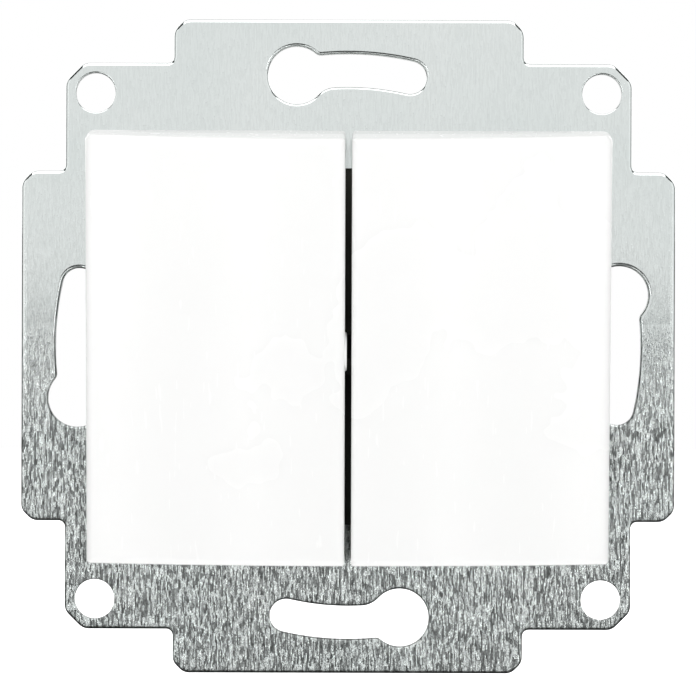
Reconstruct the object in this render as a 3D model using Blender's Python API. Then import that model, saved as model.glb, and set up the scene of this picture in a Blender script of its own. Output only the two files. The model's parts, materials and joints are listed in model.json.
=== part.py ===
"""Flush-mount two-gang rocker switch insert, without its cover frame.

Right-handed frame, +Z up. The front faces -Y, +X is to the right. The origin is the centre of the
support plate's rear face, which rests on the wall. Every size below is in millimetres, and the
helpers turn them into metres.

Each gang works like this: the rocker cap clips on a see-saw, whose trunnions turn in the front
carrier. A sprung plunger in the see-saw's stem pushes a contact arm over its pivot, and the arm's
contact meets or leaves the fixed contact of that gang's output strip.
"""

import math

import bmesh
import bpy
from mathutils import Vector

MM = 0.001

# Clearances
FIT_GAP = 0.3  # between pieces that touch on the real object
RUN_GAP = 0.15  # between a shaft and its bore, and between small contact pieces

# Support plate
PLATE_SIZE = 71.0
PLATE_T = 1.1
TAB_HALF = 19.0
TAB_REACH = 4.75  # how far an edge tab stands out from the corner squares
TAB_CHAMFER = 1.2
CORNER_CHAMFER = 2.0
INNER_FILLET = 0.7
HOLE_SPACING = 55.0
HOLE_D = 4.3
SLOT_R = 30.0  # radius of the circle that the keyhole slots follow
SLOT_W = 3.6
SLOT_HEAD_D = 6.3
SLOT_HEAD_DEG = 10.9  # from the tab's middle to the slot's wide end
SLOT_END_DEG = 12.8  # from the tab's middle to the slot's narrow end
NECK_INNER_R = 2.6
NECK_OUTER_R = 0.9
OPENING_HALF = 16.2
OPENING_CHAMFER = 5.0

# Rocker caps
CAP_PAIR_W = 56.3
CAP_H = 46.8  # at the end of the skirt
CAP_DRAFT = math.radians(4.5)  # of the top and bottom walls
CAP_GAP = 0.7
CAP_WALL = 1.3
CAP_ROUND = 0.85
CROWN = 11.2  # from the wall to the middle of the cap face
CROWN_R = 110.0
SKIRT_GAP = 0.75  # left under the skirt's end when it is pressed in
PAD_R = 2.1
PAD_OUT = 0.2
PEG_W = 5.0
PEG_T = 1.6
PEG_Z = 8.0

# Rocking
PIVOT = 3.4  # from the wall forward to the rocker pivots
TILT = math.radians(6.0)
GANG_X = 8.1

# See-saw
SEESAW_H = 24.0
SEESAW_T = 2.1
HUB_R = 2.3
TRUNNION_R = 1.5
STEM_HALF = 2.6
STEM_END = 3.5  # behind the wall plane
BORE_R = 1.45
BORE_ROOF = 1.3

# Plunger and its spring
PLUNGER_TIP = 7.3
PLUNGER_L = 6.9
PLUNGER_TIP_R = 0.6
PLUNGER_NOSE = 1.1  # length of the rounded nose
SPRING_WIRE = 0.36
SPRING_TURNS = 5

# Front carrier
FLANGE_LAP = 3.1  # how far the flange laps over the plate around the opening
FLANGE_T = 1.2
CARRIER_WALL = 1.4
CARRIER_DEPTH = 5.0
WINDOW_HALF_H = 5.6
POST_T = 2.0
POST_HALF_H = 3.0
POST_TOP = 2.5  # how far a bearing post stands in front of the pivot
CENTRE_POST_HALF = 1.2
SNAP_HALF = 1.25

# Base housing
BASE_RIM_X = 3.4  # how far the base reaches past the plate's opening, at the sides
BASE_RIM_Z = 4.3  # and at the top and bottom
BASE_CHAMFER = 5.5
BASE_DEPTH = 22.0
BASE_WALL = 1.6
BASE_FLOOR = 1.8
PILLAR_R = 2.2
PILLAR_DEPTH = 12.0
SHELF_LAP = 0.8  # how far a shelf is wider than the strip on it, at each side

# Screws that hold carrier, plate and base together
CARRIER_SCREW_EDGE = 2.26  # from the opening's cut corner to the screw
CARRIER_SCREW_R = 0.95
CARRIER_SCREW_HEAD_R = 1.8
CARRIER_SCREW_HEAD_T = 1.2
CARRIER_SCREW_L = 8.0

# Contact arm and contacts
ARM_FRONT = 7.6
ARM_T = 0.6
ARM_HALF_W = 2.5
ARM_HALF_L = 9.4
ARM_TILT = math.radians(7.0)
ARM_TAB_HALF_H = 0.5
ARM_TAB_REACH = 1.0
CONTACT_Z = 8.0
CONTACT_R = 1.6
CONTACT_T = 0.9
RIVET_R = 0.65
RIVET_HEAD_R = 1.1
RIVET_HEAD_T = 0.5

# Metal strips
STRIP_T = 0.8
STRIP_HALF_W = 2.6
RAIL_FRONT = 9.6
RAIL_HALF_H = 2.4
STRIP_LAP = 0.6  # how far an output strip laps over the middle of its shelf
EAR_T = 0.8
EAR_HALF_H = 1.9
EAR_LIP = 0.7  # how far an ear reaches past the arm it carries
NOTCH_HALF = 0.85
RAIL_MARGIN = 0.8

# Terminals
CAGE_DEPTH = 5.0
CAGE_WALL = 0.9
CAGE_TOP_T = 1.4
CAGE_BOTTOM_T = 1.0
WIRE_ROOM = 3.4  # between the strip and the open cage's floor
TERMINAL_R = 1.6
TERMINAL_HEAD_R = 2.5
TERMINAL_HEAD_T = 1.8
TERMINAL_RECESS = 1.3  # from the base's outside down to the screw head
CAGE_TRAVEL = 2.4
WIRE_HOLE_R = 1.6
FUNNEL_R = 2.4

# Spreading claws
CLAW_T = 1.0
CLAW_GAP = 0.8  # between the base's side and the claw
CLAW_HALF_H = 3.9
CLAW_PIVOT_Y = 2.9
CLAW_PIVOT_R = 0.9
CLAW_END = 15.5
CLAW_BRIDGE = 0.8  # between the foot's slot and its teeth
TOOTH = 0.9
CLAW_SCREW_R = 1.5
CLAW_SCREW_HEAD_R = 2.75
CLAW_SCREW_HEAD_T = 2.0
LUG_T = 1.4
LUG_HALF = 1.9


def pressed_limit(height, surface, gap):
    """Where an edge this far from the pivot ends, to stop a gap short of a surface at full tilt."""
    room = surface - gap + PIVOT - height * math.sin(TILT)
    return -PIVOT + room / math.cos(TILT)


# Sizes that follow from the ones above
HALF = PLATE_SIZE / 2
CORNER_HALF = HALF - TAB_REACH
PLATE_FRONT = -PLATE_T
FLANGE_HALF = OPENING_HALF + FLANGE_LAP
CARRIER_SCREW_XZ = OPENING_HALF - OPENING_CHAMFER / 2 + CARRIER_SCREW_EDGE / math.sqrt(2)
FLANGE_REAR = PLATE_FRONT - FIT_GAP
FLANGE_FRONT = FLANGE_REAR - FLANGE_T
SKIRT_HALF = OPENING_HALF - FIT_GAP
SKIRT_REAR = pressed_limit(CAP_H / 2, PLATE_FRONT, SKIRT_GAP)
GAP_WALL_REAR = pressed_limit(FLANGE_HALF, FLANGE_FRONT, FIT_GAP)
SEESAW_HALF = GANG_X - CAP_GAP / 2 - CAP_WALL - FIT_GAP
SEESAW_REAR = pressed_limit(SEESAW_H / 2, FLANGE_FRONT, FIT_GAP)
SEESAW_FRONT = SEESAW_REAR - SEESAW_T
BORE_TOP = SEESAW_FRONT + BORE_ROOF
ARM_PIVOT_Y = ARM_FRONT + ARM_T / 2
BASE_FRONT = FIT_GAP
BASE_HALF_X = OPENING_HALF + BASE_RIM_X
BASE_HALF_Z = OPENING_HALF + BASE_RIM_Z
FLOOR_Y = BASE_DEPTH - BASE_FLOOR
RAIL_HALF = GANG_X + ARM_HALF_W + FIT_GAP + EAR_T + RAIL_MARGIN
MOVING_REAR = ARM_FRONT + ARM_T + RUN_GAP + CONTACT_T
CLOSED_REACH = (
    ARM_PIVOT_Y
    + (MOVING_REAR - ARM_PIVOT_Y) * math.cos(ARM_TILT)
    + (CONTACT_Z + CONTACT_R) * math.sin(ARM_TILT)
)
FIXED_FRONT = CLOSED_REACH + RUN_GAP
OUTPUT_FRONT = FIXED_FRONT + CONTACT_T + RUN_GAP
CAGE_FRONT = OUTPUT_FRONT + STRIP_T + RUN_GAP + RIVET_HEAD_T + FIT_GAP
TERMINAL_Y = CAGE_FRONT + CAGE_DEPTH / 2
STRIP_END = CAGE_FRONT + CAGE_DEPTH + 0.6
TERMINAL_TOP = BASE_HALF_Z - TERMINAL_RECESS
TERMINAL_SEAT = TERMINAL_TOP - TERMINAL_HEAD_T
CAGE_ROOF = TERMINAL_SEAT - 2 * FIT_GAP - CAGE_TRAVEL - CAGE_TOP_T
STRIP_LEVEL = CAGE_ROOF - 2 * FIT_GAP - STRIP_T
CAGE_FLOOR = STRIP_LEVEL - WIRE_ROOM
WIRE_Z = STRIP_LEVEL - WIRE_ROOM / 2
COMMON_SHELF = CAGE_FLOOR - CAGE_BOTTOM_T - 2 * FIT_GAP
OUTPUT_SHELF = min(COMMON_SHELF, CONTACT_Z - RIVET_HEAD_R - FIT_GAP)
CLAW_X = BASE_HALF_X + CLAW_GAP + CLAW_T / 2
CLAW_SCREW_X = CLAW_X + CLAW_PIVOT_R + FIT_GAP + CLAW_SCREW_R
CLAW_WINDOW_HALF = CLAW_SCREW_R + 2 * FIT_GAP
CLAW_SLOT_END = CLAW_SCREW_X + CLAW_SCREW_R + 2 * FIT_GAP

# Looks: colour, roughness, metallic
STEEL = ((0.62, 0.64, 0.63), 0.35, 1.0)
DARK_STEEL = ((0.42, 0.42, 0.41), 0.4, 1.0)
WHITE = ((0.93, 0.93, 0.92), 0.25, 0.0)
GREY = ((0.72, 0.72, 0.70), 0.5, 0.0)
BLACK = ((0.02, 0.02, 0.013), 0.5, 0.0)
NATURAL = ((0.85, 0.82, 0.74), 0.4, 0.0)
BRASS = ((0.78, 0.60, 0.28), 0.3, 1.0)
COPPER = ((0.80, 0.45, 0.30), 0.3, 1.0)
SILVER = ((0.86, 0.86, 0.85), 0.2, 1.0)


def clear_scene():
    for thing in list(bpy.data.objects):
        bpy.data.objects.remove(thing, do_unlink=True)


def give_material(thing, look):
    colour, roughness, metallic = look
    material = bpy.data.materials.new(thing.name)
    material.use_nodes = True
    shader = material.node_tree.nodes["Principled BSDF"]
    shader.inputs["Base Color"].default_value = (*colour, 1.0)
    shader.inputs["Roughness"].default_value = roughness
    shader.inputs["Metallic"].default_value = metallic
    thing.data.materials.append(material)


def from_bmesh(name, built):
    """A new object from a bmesh in millimetres, with its faces pointing out."""
    bmesh.ops.remove_doubles(built, verts=built.verts, dist=1e-5)
    bmesh.ops.recalc_face_normals(built, faces=built.faces)
    bmesh.ops.scale(built, vec=(MM, MM, MM), verts=built.verts)
    mesh = bpy.data.meshes.new(name)
    built.to_mesh(mesh)
    built.free()
    thing = bpy.data.objects.new(name, mesh)
    bpy.context.scene.collection.objects.link(thing)
    return thing


def placed(axis, u, v, w):
    """The point with w along the axis and u, v across it, in X, Y, Z order."""
    return {"X": (w, u, v), "Y": (u, w, v), "Z": (u, v, w)}[axis]


def prism(name, outline, axis, low, high):
    """A flat outline carried along an axis."""
    built = bmesh.new()
    ends = [[built.verts.new(placed(axis, u, v, w)) for u, v in outline] for w in (low, high)]
    built.faces.new(ends[0])
    built.faces.new(ends[1])
    count = len(outline)
    for i in range(count):
        j = (i + 1) % count
        built.faces.new((ends[0][i], ends[0][j], ends[1][j], ends[1][i]))
    return from_bmesh(name, built)


def block(name, x, y, z):
    """A box from its low and high value along each axis."""
    outline = [(x[0], z[0]), (x[1], z[0]), (x[1], z[1]), (x[0], z[1])]
    return prism(name, outline, "Y", y[0], y[1])


def turned(name, profile, axis, centre, steps=24):
    """A profile of (radius, place along the axis) turned about the axis through the centre.

    The profile runs from a point on the axis to a point on the axis.
    """
    built = bmesh.new()
    u0, v0 = centre
    rings = []
    for radius, w in profile:
        if radius == 0:
            rings.append([built.verts.new(placed(axis, u0, v0, w))])
            continue
        angles = [2 * math.pi * i / steps for i in range(steps)]
        rings.append([
            built.verts.new(placed(axis, u0 + radius * math.cos(a), v0 + radius * math.sin(a), w))
            for a in angles
        ])
    for first, second in zip(rings, rings[1:]):
        for i in range(steps):
            j = (i + 1) % steps
            corners = [first[i % len(first)], first[j % len(first)],
                       second[j % len(second)], second[i % len(second)]]
            unique = list(dict.fromkeys(corners))
            built.faces.new(unique)
    return from_bmesh(name, built)


def rod(name, radius, axis, centre, low, high, steps=24):
    return turned(name, [(0, low), (radius, low), (radius, high), (0, high)], axis, centre, steps)


def as_tool(thing):
    thing.hide_render = True
    thing.display_type = "WIRE"


def combine(body, operation, tools):
    for tool in tools:
        as_tool(tool)
        step = body.modifiers.new(tool.name, "BOOLEAN")
        step.operation = operation
        step.solver = "EXACT"
        step.object = tool
        if body.parent and not tool.parent:
            tool.parent = body.parent
            tool.location = body.location
    return body


def join(body, *tools):
    return combine(body, "UNION", tools)


def cut(body, *tools):
    return combine(body, "DIFFERENCE", tools)


def smooth(thing):
    thing.data.shade_smooth()
    thing.data.set_sharp_from_angle(angle=math.radians(35))


def arc(centre, radius, start, end, steps):
    """Points of an arc, angles in radians, both ends included."""
    return [
        (centre[0] + radius * math.cos(start + (end - start) * i / steps),
         centre[1] + radius * math.sin(start + (end - start) * i / steps))
        for i in range(steps + 1)
    ]


def chamfered(half_u, half_v, chamfer):
    """A rectangle about the middle with its corners cut off."""
    return [
        (half_u, -half_v + chamfer), (half_u, half_v - chamfer),
        (half_u - chamfer, half_v), (-half_u + chamfer, half_v),
        (-half_u, half_v - chamfer), (-half_u, -half_v + chamfer),
        (-half_u + chamfer, -half_v), (half_u - chamfer, -half_v),
    ]


def quarter_turned(points, quarters):
    for _ in range(quarters):
        points = [(-v, u) for u, v in points]
    return points


def pivot(name, x, y, z, turn=0.0):
    """An empty on a joint's axis, turned about X to the rest position."""
    frame = bpy.data.objects.new(name, None)
    bpy.context.scene.collection.objects.link(frame)
    frame.location = Vector((x, y, z)) * MM
    frame.rotation_euler = (turn, 0.0, 0.0)
    return frame


def hang(frame, *things):
    """Parents pieces to a joint's empty. They are modelled where they stand before it turns."""
    for thing in things:
        thing.parent = frame
        thing.location = -frame.location


# Support plate


def plate_outline():
    """A quarter of the rim from the right tab to the top tab, and its three turned copies."""
    fillet = INNER_FILLET
    quarter = [(HALF, TAB_HALF - TAB_CHAMFER), (HALF - TAB_CHAMFER, TAB_HALF)]
    quarter += arc((CORNER_HALF + fillet, TAB_HALF + fillet), fillet, 1.5 * math.pi, math.pi, 3)
    quarter += [(CORNER_HALF, CORNER_HALF - CORNER_CHAMFER), (CORNER_HALF - CORNER_CHAMFER, CORNER_HALF)]
    quarter += arc((TAB_HALF + fillet, CORNER_HALF + fillet), fillet, 1.5 * math.pi, math.pi, 3)
    quarter += [(TAB_HALF, HALF - TAB_CHAMFER), (TAB_HALF - TAB_CHAMFER, HALF)]
    return [point for turn in range(4) for point in quarter_turned(quarter, turn)]


def neck(side, fillet, head):
    """The fillet between the slot's wide end and one of its long sides.

    Returns the fillet's centre and the angle, seen from the plate's middle, where it meets the side.
    """
    centre_r = SLOT_R + side * (SLOT_W / 2 + fillet)
    reach = SLOT_HEAD_D / 2 + fillet
    swing = math.acos((SLOT_R**2 + centre_r**2 - reach**2) / (2 * SLOT_R * centre_r))
    angle = head - swing
    return (centre_r * math.cos(angle), centre_r * math.sin(angle)), angle


def slot_outline():
    """The top tab's keyhole slot: wide end on the left, narrow end on the right."""
    head = math.radians(90 + SLOT_HEAD_DEG)
    end = math.radians(90 - SLOT_END_DEG)
    head_at = (SLOT_R * math.cos(head), SLOT_R * math.sin(head))
    end_at = (SLOT_R * math.cos(end), SLOT_R * math.sin(end))
    outer_at, outer_angle = neck(1, NECK_OUTER_R, head)
    inner_at, inner_angle = neck(-1, NECK_INNER_R, head)
    to_outer = math.atan2(outer_at[1] - head_at[1], outer_at[0] - head_at[0])
    to_inner = math.atan2(inner_at[1] - head_at[1], inner_at[0] - head_at[0])
    points = arc(end_at, SLOT_W / 2, end - math.pi, end, 8)
    points += arc((0, 0), SLOT_R + SLOT_W / 2, end, outer_angle, 8)[1:]
    points += arc(outer_at, NECK_OUTER_R, outer_angle - math.pi, to_outer - math.pi, 3)[1:]
    points += arc(head_at, SLOT_HEAD_D / 2, to_outer, to_inner + 2 * math.pi, 18)[1:]
    points += arc(inner_at, NECK_INNER_R, to_inner + math.pi, inner_angle, 4)[1:]
    points += arc((0, 0), SLOT_R - SLOT_W / 2, inner_angle, end, 8)[1:-1]
    return points


def make_support_plate():
    plate = prism("support_plate", plate_outline(), "Y", PLATE_FRONT, 0.0)
    through = (PLATE_FRONT - 1, 1)
    cut(plate, prism("opening_cutter", chamfered(OPENING_HALF, OPENING_HALF, OPENING_CHAMFER), "Y", *through))
    for turn in range(4):
        cut(plate, prism(f"slot_cutter_{turn}", quarter_turned(slot_outline(), turn), "Y", *through))
    for x in (-1, 1):
        claw_screw = (x * CLAW_SCREW_X, 0)
        cut(plate, rod(f"claw_hole_cutter_{x}", CLAW_SCREW_R + FIT_GAP, "Y", claw_screw, *through, 20))
        for z in (-1, 1):
            corner = (x * HOLE_SPACING / 2, z * HOLE_SPACING / 2)
            cut(plate, rod(f"corner_hole_cutter_{x}_{z}", HOLE_D / 2, "Y", corner, *through, 24))
            screw = (x * CARRIER_SCREW_XZ, z * CARRIER_SCREW_XZ)
            cut(plate, rod(f"screw_hole_cutter_{x}_{z}", CARRIER_SCREW_R + FIT_GAP, "Y", screw, *through, 12))
    give_material(plate, STEEL)


# Front carrier and base


def make_front_carrier():
    flange = prism("front_carrier", chamfered(FLANGE_HALF, FLANGE_HALF, 1.0), "Y", FLANGE_FRONT, FLANGE_REAR)
    body = chamfered(SKIRT_HALF, SKIRT_HALF, OPENING_CHAMFER)
    join(flange, prism("carrier_body", body, "Y", FLANGE_REAR - FLANGE_T / 2, CARRIER_DEPTH))
    inner = SKIRT_HALF - CARRIER_WALL
    slope = OPENING_CHAMFER - CARRIER_WALL * (2 - math.sqrt(2))
    rib = CARRIER_WALL / 2
    outer_post = GANG_X + SEESAW_HALF + 2 * FIT_GAP + POST_T / 2 + RUN_GAP
    for side in (-1, 1):
        hollow = [(rib, -inner), (inner - slope, -inner), (inner, -inner + slope),
                  (inner, inner - slope), (inner - slope, inner), (rib, inner)]
        hollow = [(side * u, v) for u, v in hollow]
        cut(flange, prism(f"carrier_hollow_{side}", hollow, "Y", FLANGE_REAR, CARRIER_DEPTH + 1))
        reach = sorted(side * (GANG_X + end * (SEESAW_HALF + FIT_GAP)) for end in (-1, 1))
        window = block(f"carrier_window_{side}", reach, (FLANGE_FRONT - 1, FLANGE_REAR + 1),
                       (-WINDOW_HALF_H, WINDOW_HALF_H))
        cut(flange, window)
    posts = [(0, CENTRE_POST_HALF), (-outer_post, POST_T / 2), (outer_post, POST_T / 2)]
    for x, half in posts:
        join(flange, block(f"bearing_post_{x:.0f}", (x - half, x + half),
                           (-PIVOT - POST_TOP, FLANGE_REAR - FLANGE_T / 2), (-POST_HALF_H, POST_HALF_H)))
    length = outer_post + POST_T
    cut(flange, rod("bearing_bore", TRUNNION_R + RUN_GAP, "X", (-PIVOT, 0), -length, length, 32))
    cut(flange, block("snap_slot", (-length, length), (-PIVOT - POST_TOP - 1, -PIVOT),
                      (-SNAP_HALF, SNAP_HALF)))
    for x in (-1, 1):
        for z in (-1, 1):
            at = (x * CARRIER_SCREW_XZ, z * CARRIER_SCREW_XZ)
            cut(flange, rod(f"carrier_hole_{x}_{z}", CARRIER_SCREW_R + FIT_GAP, "Y", at,
                            FLANGE_FRONT - 1, FLANGE_REAR + 1, 12))
    give_material(flange, BLACK)


def terminal_places():
    """Each terminal's name, X place and the way its screw points from the middle."""
    return (("common", 0.0, 1), ("left", -GANG_X, -1), ("right", GANG_X, -1))


def make_base_housing():
    rim = chamfered(BASE_HALF_X, BASE_HALF_Z, BASE_CHAMFER)
    base = prism("base_housing", rim, "Y", BASE_FRONT, BASE_DEPTH)
    slope = BASE_CHAMFER - BASE_WALL * (2 - math.sqrt(2))
    hollow = chamfered(BASE_HALF_X - BASE_WALL, BASE_HALF_Z - BASE_WALL, slope)
    cut(base, prism("base_hollow", hollow, "Y", BASE_FRONT - 1, FLOOR_Y))
    sunk = FLOOR_Y + BASE_FLOOR / 2
    for x in (-1, 1):
        for z in (-1, 1):
            at = (x * CARRIER_SCREW_XZ, z * CARRIER_SCREW_XZ)
            join(base, rod(f"pillar_{x}_{z}", PILLAR_R, "Y", at, BASE_FRONT, PILLAR_DEPTH, 16))
    rail_rear = RAIL_FRONT + STRIP_T + FIT_GAP
    join(base, block("rail_rib", (-RAIL_HALF, RAIL_HALF), (rail_rear, sunk), (-BASE_WALL / 2, BASE_WALL / 2)))
    common_half = STRIP_HALF_W + SHELF_LAP
    join(base, block("common_shelf", (-common_half, common_half), (rail_rear, sunk),
                     (COMMON_SHELF - BASE_WALL, COMMON_SHELF)))
    output_rear = OUTPUT_FRONT + STRIP_T + FIT_GAP
    shelf_half = GANG_X + STRIP_HALF_W + SHELF_LAP
    join(base, block("output_shelf", (-shelf_half, shelf_half), (output_rear, sunk),
                     (-OUTPUT_SHELF, BASE_WALL - OUTPUT_SHELF)))
    lug_x = CLAW_X + LUG_HALF
    for side in (-1, 1):
        for z in (-1, 1):
            reach = sorted(side * x for x in (BASE_HALF_X - BASE_WALL / 2, lug_x))
            height = sorted(z * (CLAW_HALF_H + FIT_GAP + end * LUG_T) for end in (0, 1))
            join(base, block(f"claw_lug_{side}_{z}", reach,
                             (CLAW_PIVOT_Y - LUG_HALF, CLAW_PIVOT_Y + LUG_HALF), height))
        high = CLAW_HALF_H + LUG_T + 1
        cut(base, rod(f"claw_bore_{side}", CLAW_PIVOT_R + RUN_GAP, "Z",
                      (side * CLAW_X, CLAW_PIVOT_Y), -high, high, 20))
    for x in (-1, 1):
        for z in (-1, 1):
            at = (x * CARRIER_SCREW_XZ, z * CARRIER_SCREW_XZ)
            cut(base, rod(f"pillar_bore_{x}_{z}", CARRIER_SCREW_R + RUN_GAP, "Y", at,
                          BASE_FRONT - 1, PILLAR_DEPTH - 2, 12))
    for name, x, way in terminal_places():
        ends = sorted(way * z for z in (BASE_HALF_Z - 3 * BASE_WALL, BASE_HALF_Z + 1))
        cut(base, rod(f"driver_hole_{name}", TERMINAL_HEAD_R + FIT_GAP, "Z", (x, TERMINAL_Y), *ends, 24))
        funnel = [(0, FLOOR_Y - 1), (WIRE_HOLE_R, FLOOR_Y - 1), (WIRE_HOLE_R, BASE_DEPTH - 0.9),
                  (FUNNEL_R, BASE_DEPTH), (FUNNEL_R, BASE_DEPTH + 1), (0, BASE_DEPTH + 1)]
        cut(base, turned(f"wire_hole_{name}", funnel, "Y", (x, way * WIRE_Z), 20))
    give_material(base, GREY)


def make_carrier_screws():
    """Pan-head screws through the flange and the plate into the base's pillars."""
    seat = FLANGE_FRONT - FIT_GAP
    top = seat - CARRIER_SCREW_HEAD_T
    profile = [(0, top), (CARRIER_SCREW_HEAD_R * 0.75, top), (CARRIER_SCREW_HEAD_R, top + 0.5),
               (CARRIER_SCREW_HEAD_R, seat), (CARRIER_SCREW_R, seat),
               (CARRIER_SCREW_R, CARRIER_SCREW_L - 1), (0, CARRIER_SCREW_L)]
    for row, z in (("top", 1), ("bottom", -1)):
        for column, x in (("left", -1), ("right", 1)):
            name = f"carrier_screw_{row}_{column}"
            at = (x * CARRIER_SCREW_XZ, z * CARRIER_SCREW_XZ)
            screw = turned(name, profile, "Y", at, 16)
            cross_slot(screw, at, "Y", top - 1, top + 0.6, CARRIER_SCREW_HEAD_R * 1.2, 0.45)
            smooth(screw)
            give_material(screw, STEEL)


def cross_slot(screw, at, axis, low, high, length, width):
    """A cross recess in a screw's head."""
    for name, half_u, half_v in (("u", length / 2, width / 2), ("v", width / 2, length / 2)):
        u, v = at
        outline = [(u - half_u, v - half_v), (u + half_u, v - half_v),
                   (u + half_u, v + half_v), (u - half_u, v + half_v)]
        cut(screw, prism(f"{screw.name}_recess_{name}", outline, axis, low, high))


# Rocker, see-saw, plunger and spring


def face_y(x):
    """The cap face: a cylinder of radius CROWN_R about an upright axis."""
    return -CROWN + CROWN_R - math.sqrt(CROWN_R**2 - x**2)


def cap_section(inner, outer, depth, rear, steps):
    """The cap's cross-section from above, its face set back by depth."""
    places = [inner + (outer - inner) * i / steps for i in range(steps + 1)]
    return [(x, face_y(x) + depth) for x in places] + [(outer, rear), (inner, rear)]


def mirrored(outline, side):
    return [(side * u, v) for u, v in outline]


def drafted(upright):
    """Draws in the ends of an upright prism, more the further they are in front of the skirt's end."""
    for vertex in upright.data.vertices:
        ahead = SKIRT_REAR * MM - vertex.co.y
        vertex.co.z -= math.copysign(ahead * math.tan(CAP_DRAFT), vertex.co.z)
    return upright


def make_rocker(word, side, frame):
    inner, outer = CAP_GAP / 2, CAP_PAIR_W / 2
    section = mirrored(cap_section(inner, outer, 0.0, SKIRT_REAR, 12), side)
    cap = drafted(prism(f"rocker_{word}", section, "Z", -CAP_H / 2, CAP_H / 2))
    hang(frame, cap)
    rounding = cap.modifiers.new("rounded_edges", "BEVEL")
    rounding.width = CAP_ROUND * MM
    rounding.segments = 2
    rounding.limit_method = "ANGLE"
    rounding.angle_limit = math.radians(60)
    hollow = mirrored(cap_section(inner + CAP_WALL, outer - CAP_WALL, CAP_WALL, SKIRT_REAR + 2, 8), side)
    cut(cap, drafted(prism(f"cap_hollow_{word}", hollow, "Z", -CAP_H / 2 + CAP_WALL, CAP_H / 2 - CAP_WALL)))
    notch = sorted((side * (inner - 1), side * (inner + CAP_WALL + 0.3)))
    cut(cap, block(f"cap_notch_{word}", notch, (-PIVOT - POST_TOP - 0.8, 0),
                   (-POST_HALF_H - 1.2, POST_HALF_H + 1.2)))
    inside = CAP_H / 2 - CAP_WALL
    cut(cap, block(f"cap_gap_wall_{word}", notch, (GAP_WALL_REAR, 0), (-inside, inside)))
    peg_x = sorted((side * (GANG_X - PEG_W / 2), side * (GANG_X + PEG_W / 2)))
    for z in (-PEG_Z, PEG_Z):
        join(cap, block(f"cap_peg_{word}_{z:.0f}", peg_x, (face_y(GANG_X) + CAP_WALL / 2, SEESAW_REAR - 0.4),
                        (z - PEG_T / 2, z + PEG_T / 2)))
    if side < 0:
        join(cap, rod("spacer_pad", PAD_R, "X", (-(CROWN + PIVOT + POST_TOP) / 2, 0),
                      -inner - CAP_WALL / 2, -inner + PAD_OUT, 20))
    smooth(cap)
    give_material(cap, WHITE)


def make_seesaw(word, side, frame):
    reach = sorted((side * (GANG_X - SEESAW_HALF), side * (GANG_X + SEESAW_HALF)))
    seesaw = block(f"seesaw_{word}", reach, (SEESAW_FRONT, SEESAW_REAR), (-SEESAW_H / 2, SEESAW_H / 2))
    hang(frame, seesaw)
    inner_end = side * (FIT_GAP + 0.05)
    outer_end = side * (GANG_X + SEESAW_HALF + 2 * FIT_GAP + POST_T)
    join(
        seesaw,
        rod(f"hub_{word}", HUB_R, "X", (-PIVOT, 0), *reach, 24),
        rod(f"trunnion_{word}", TRUNNION_R, "X", (-PIVOT, 0), *sorted((inner_end, outer_end)), 32),
        block(f"stem_{word}", sorted((side * (GANG_X - STEM_HALF), side * (GANG_X + STEM_HALF))),
              (SEESAW_REAR - 0.5, STEM_END), (-STEM_HALF, STEM_HALF)),
    )
    peg_half = PEG_W / 2 + FIT_GAP
    peg_x = sorted((side * (GANG_X - peg_half), side * (GANG_X + peg_half)))
    for z in (-PEG_Z, PEG_Z):
        half = PEG_T / 2 + FIT_GAP
        cut(seesaw, block(f"peg_slot_{word}_{z:.0f}", peg_x, (SEESAW_FRONT - 1, SEESAW_REAR + 0.2),
                          (z - half, z + half)))
    cut(seesaw, rod(f"stem_bore_{word}", BORE_R, "Y", (side * GANG_X, 0), BORE_TOP, STEM_END + 1, 24))
    give_material(seesaw, GREY)


def make_plunger(word, side, frame):
    body_r = BORE_R - RUN_GAP
    start = PLUNGER_TIP - PLUNGER_L
    profile = [(0, start), (body_r, start), (body_r, PLUNGER_TIP - PLUNGER_NOSE)]
    round_out = body_r - PLUNGER_TIP_R
    profile += [(PLUNGER_TIP_R + round_out * math.cos(a), PLUNGER_TIP - PLUNGER_NOSE * (1 - math.sin(a)))
                for a in (math.radians(30), math.radians(60), math.radians(90))]
    profile += [(0, PLUNGER_TIP)]
    plunger = turned(f"plunger_{word}", profile, "Y", (side * GANG_X, 0), 24)
    hang(frame, plunger)
    smooth(plunger)
    give_material(plunger, NATURAL)


def make_spring(name, centre_x, low, high, radius, turns, frame):
    """A coil of round wire about a line along Y, with its ends capped."""
    around, sides = 12, 6
    count = turns * around
    wire = SPRING_WIRE / 2
    low, high = low + wire, high - wire
    built = bmesh.new()
    rings = []
    rise = (high - low) / count
    lean = math.atan2(rise * around, 2 * math.pi * radius)
    for i in range(count + 1):
        turn = 2 * math.pi * i / around
        out = Vector((math.cos(turn), 0, math.sin(turn)))
        along = Vector((-math.sin(turn) * math.cos(lean), math.sin(lean), math.cos(turn) * math.cos(lean)))
        side = out.cross(along)
        middle = Vector((centre_x, low + rise * i, 0)) + out * radius
        ring = []
        for j in range(sides):
            a = 2 * math.pi * j / sides
            ring.append(built.verts.new(middle + wire * (math.cos(a) * out + math.sin(a) * side)))
        rings.append(ring)
    for first, second in zip(rings, rings[1:]):
        for j in range(sides):
            k = (j + 1) % sides
            built.faces.new((first[j], first[k], second[k], second[j]))
    built.faces.new(rings[0])
    built.faces.new(rings[-1])
    spring = from_bmesh(name, built)
    hang(frame, spring)
    smooth(spring)
    give_material(spring, DARK_STEEL)


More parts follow.
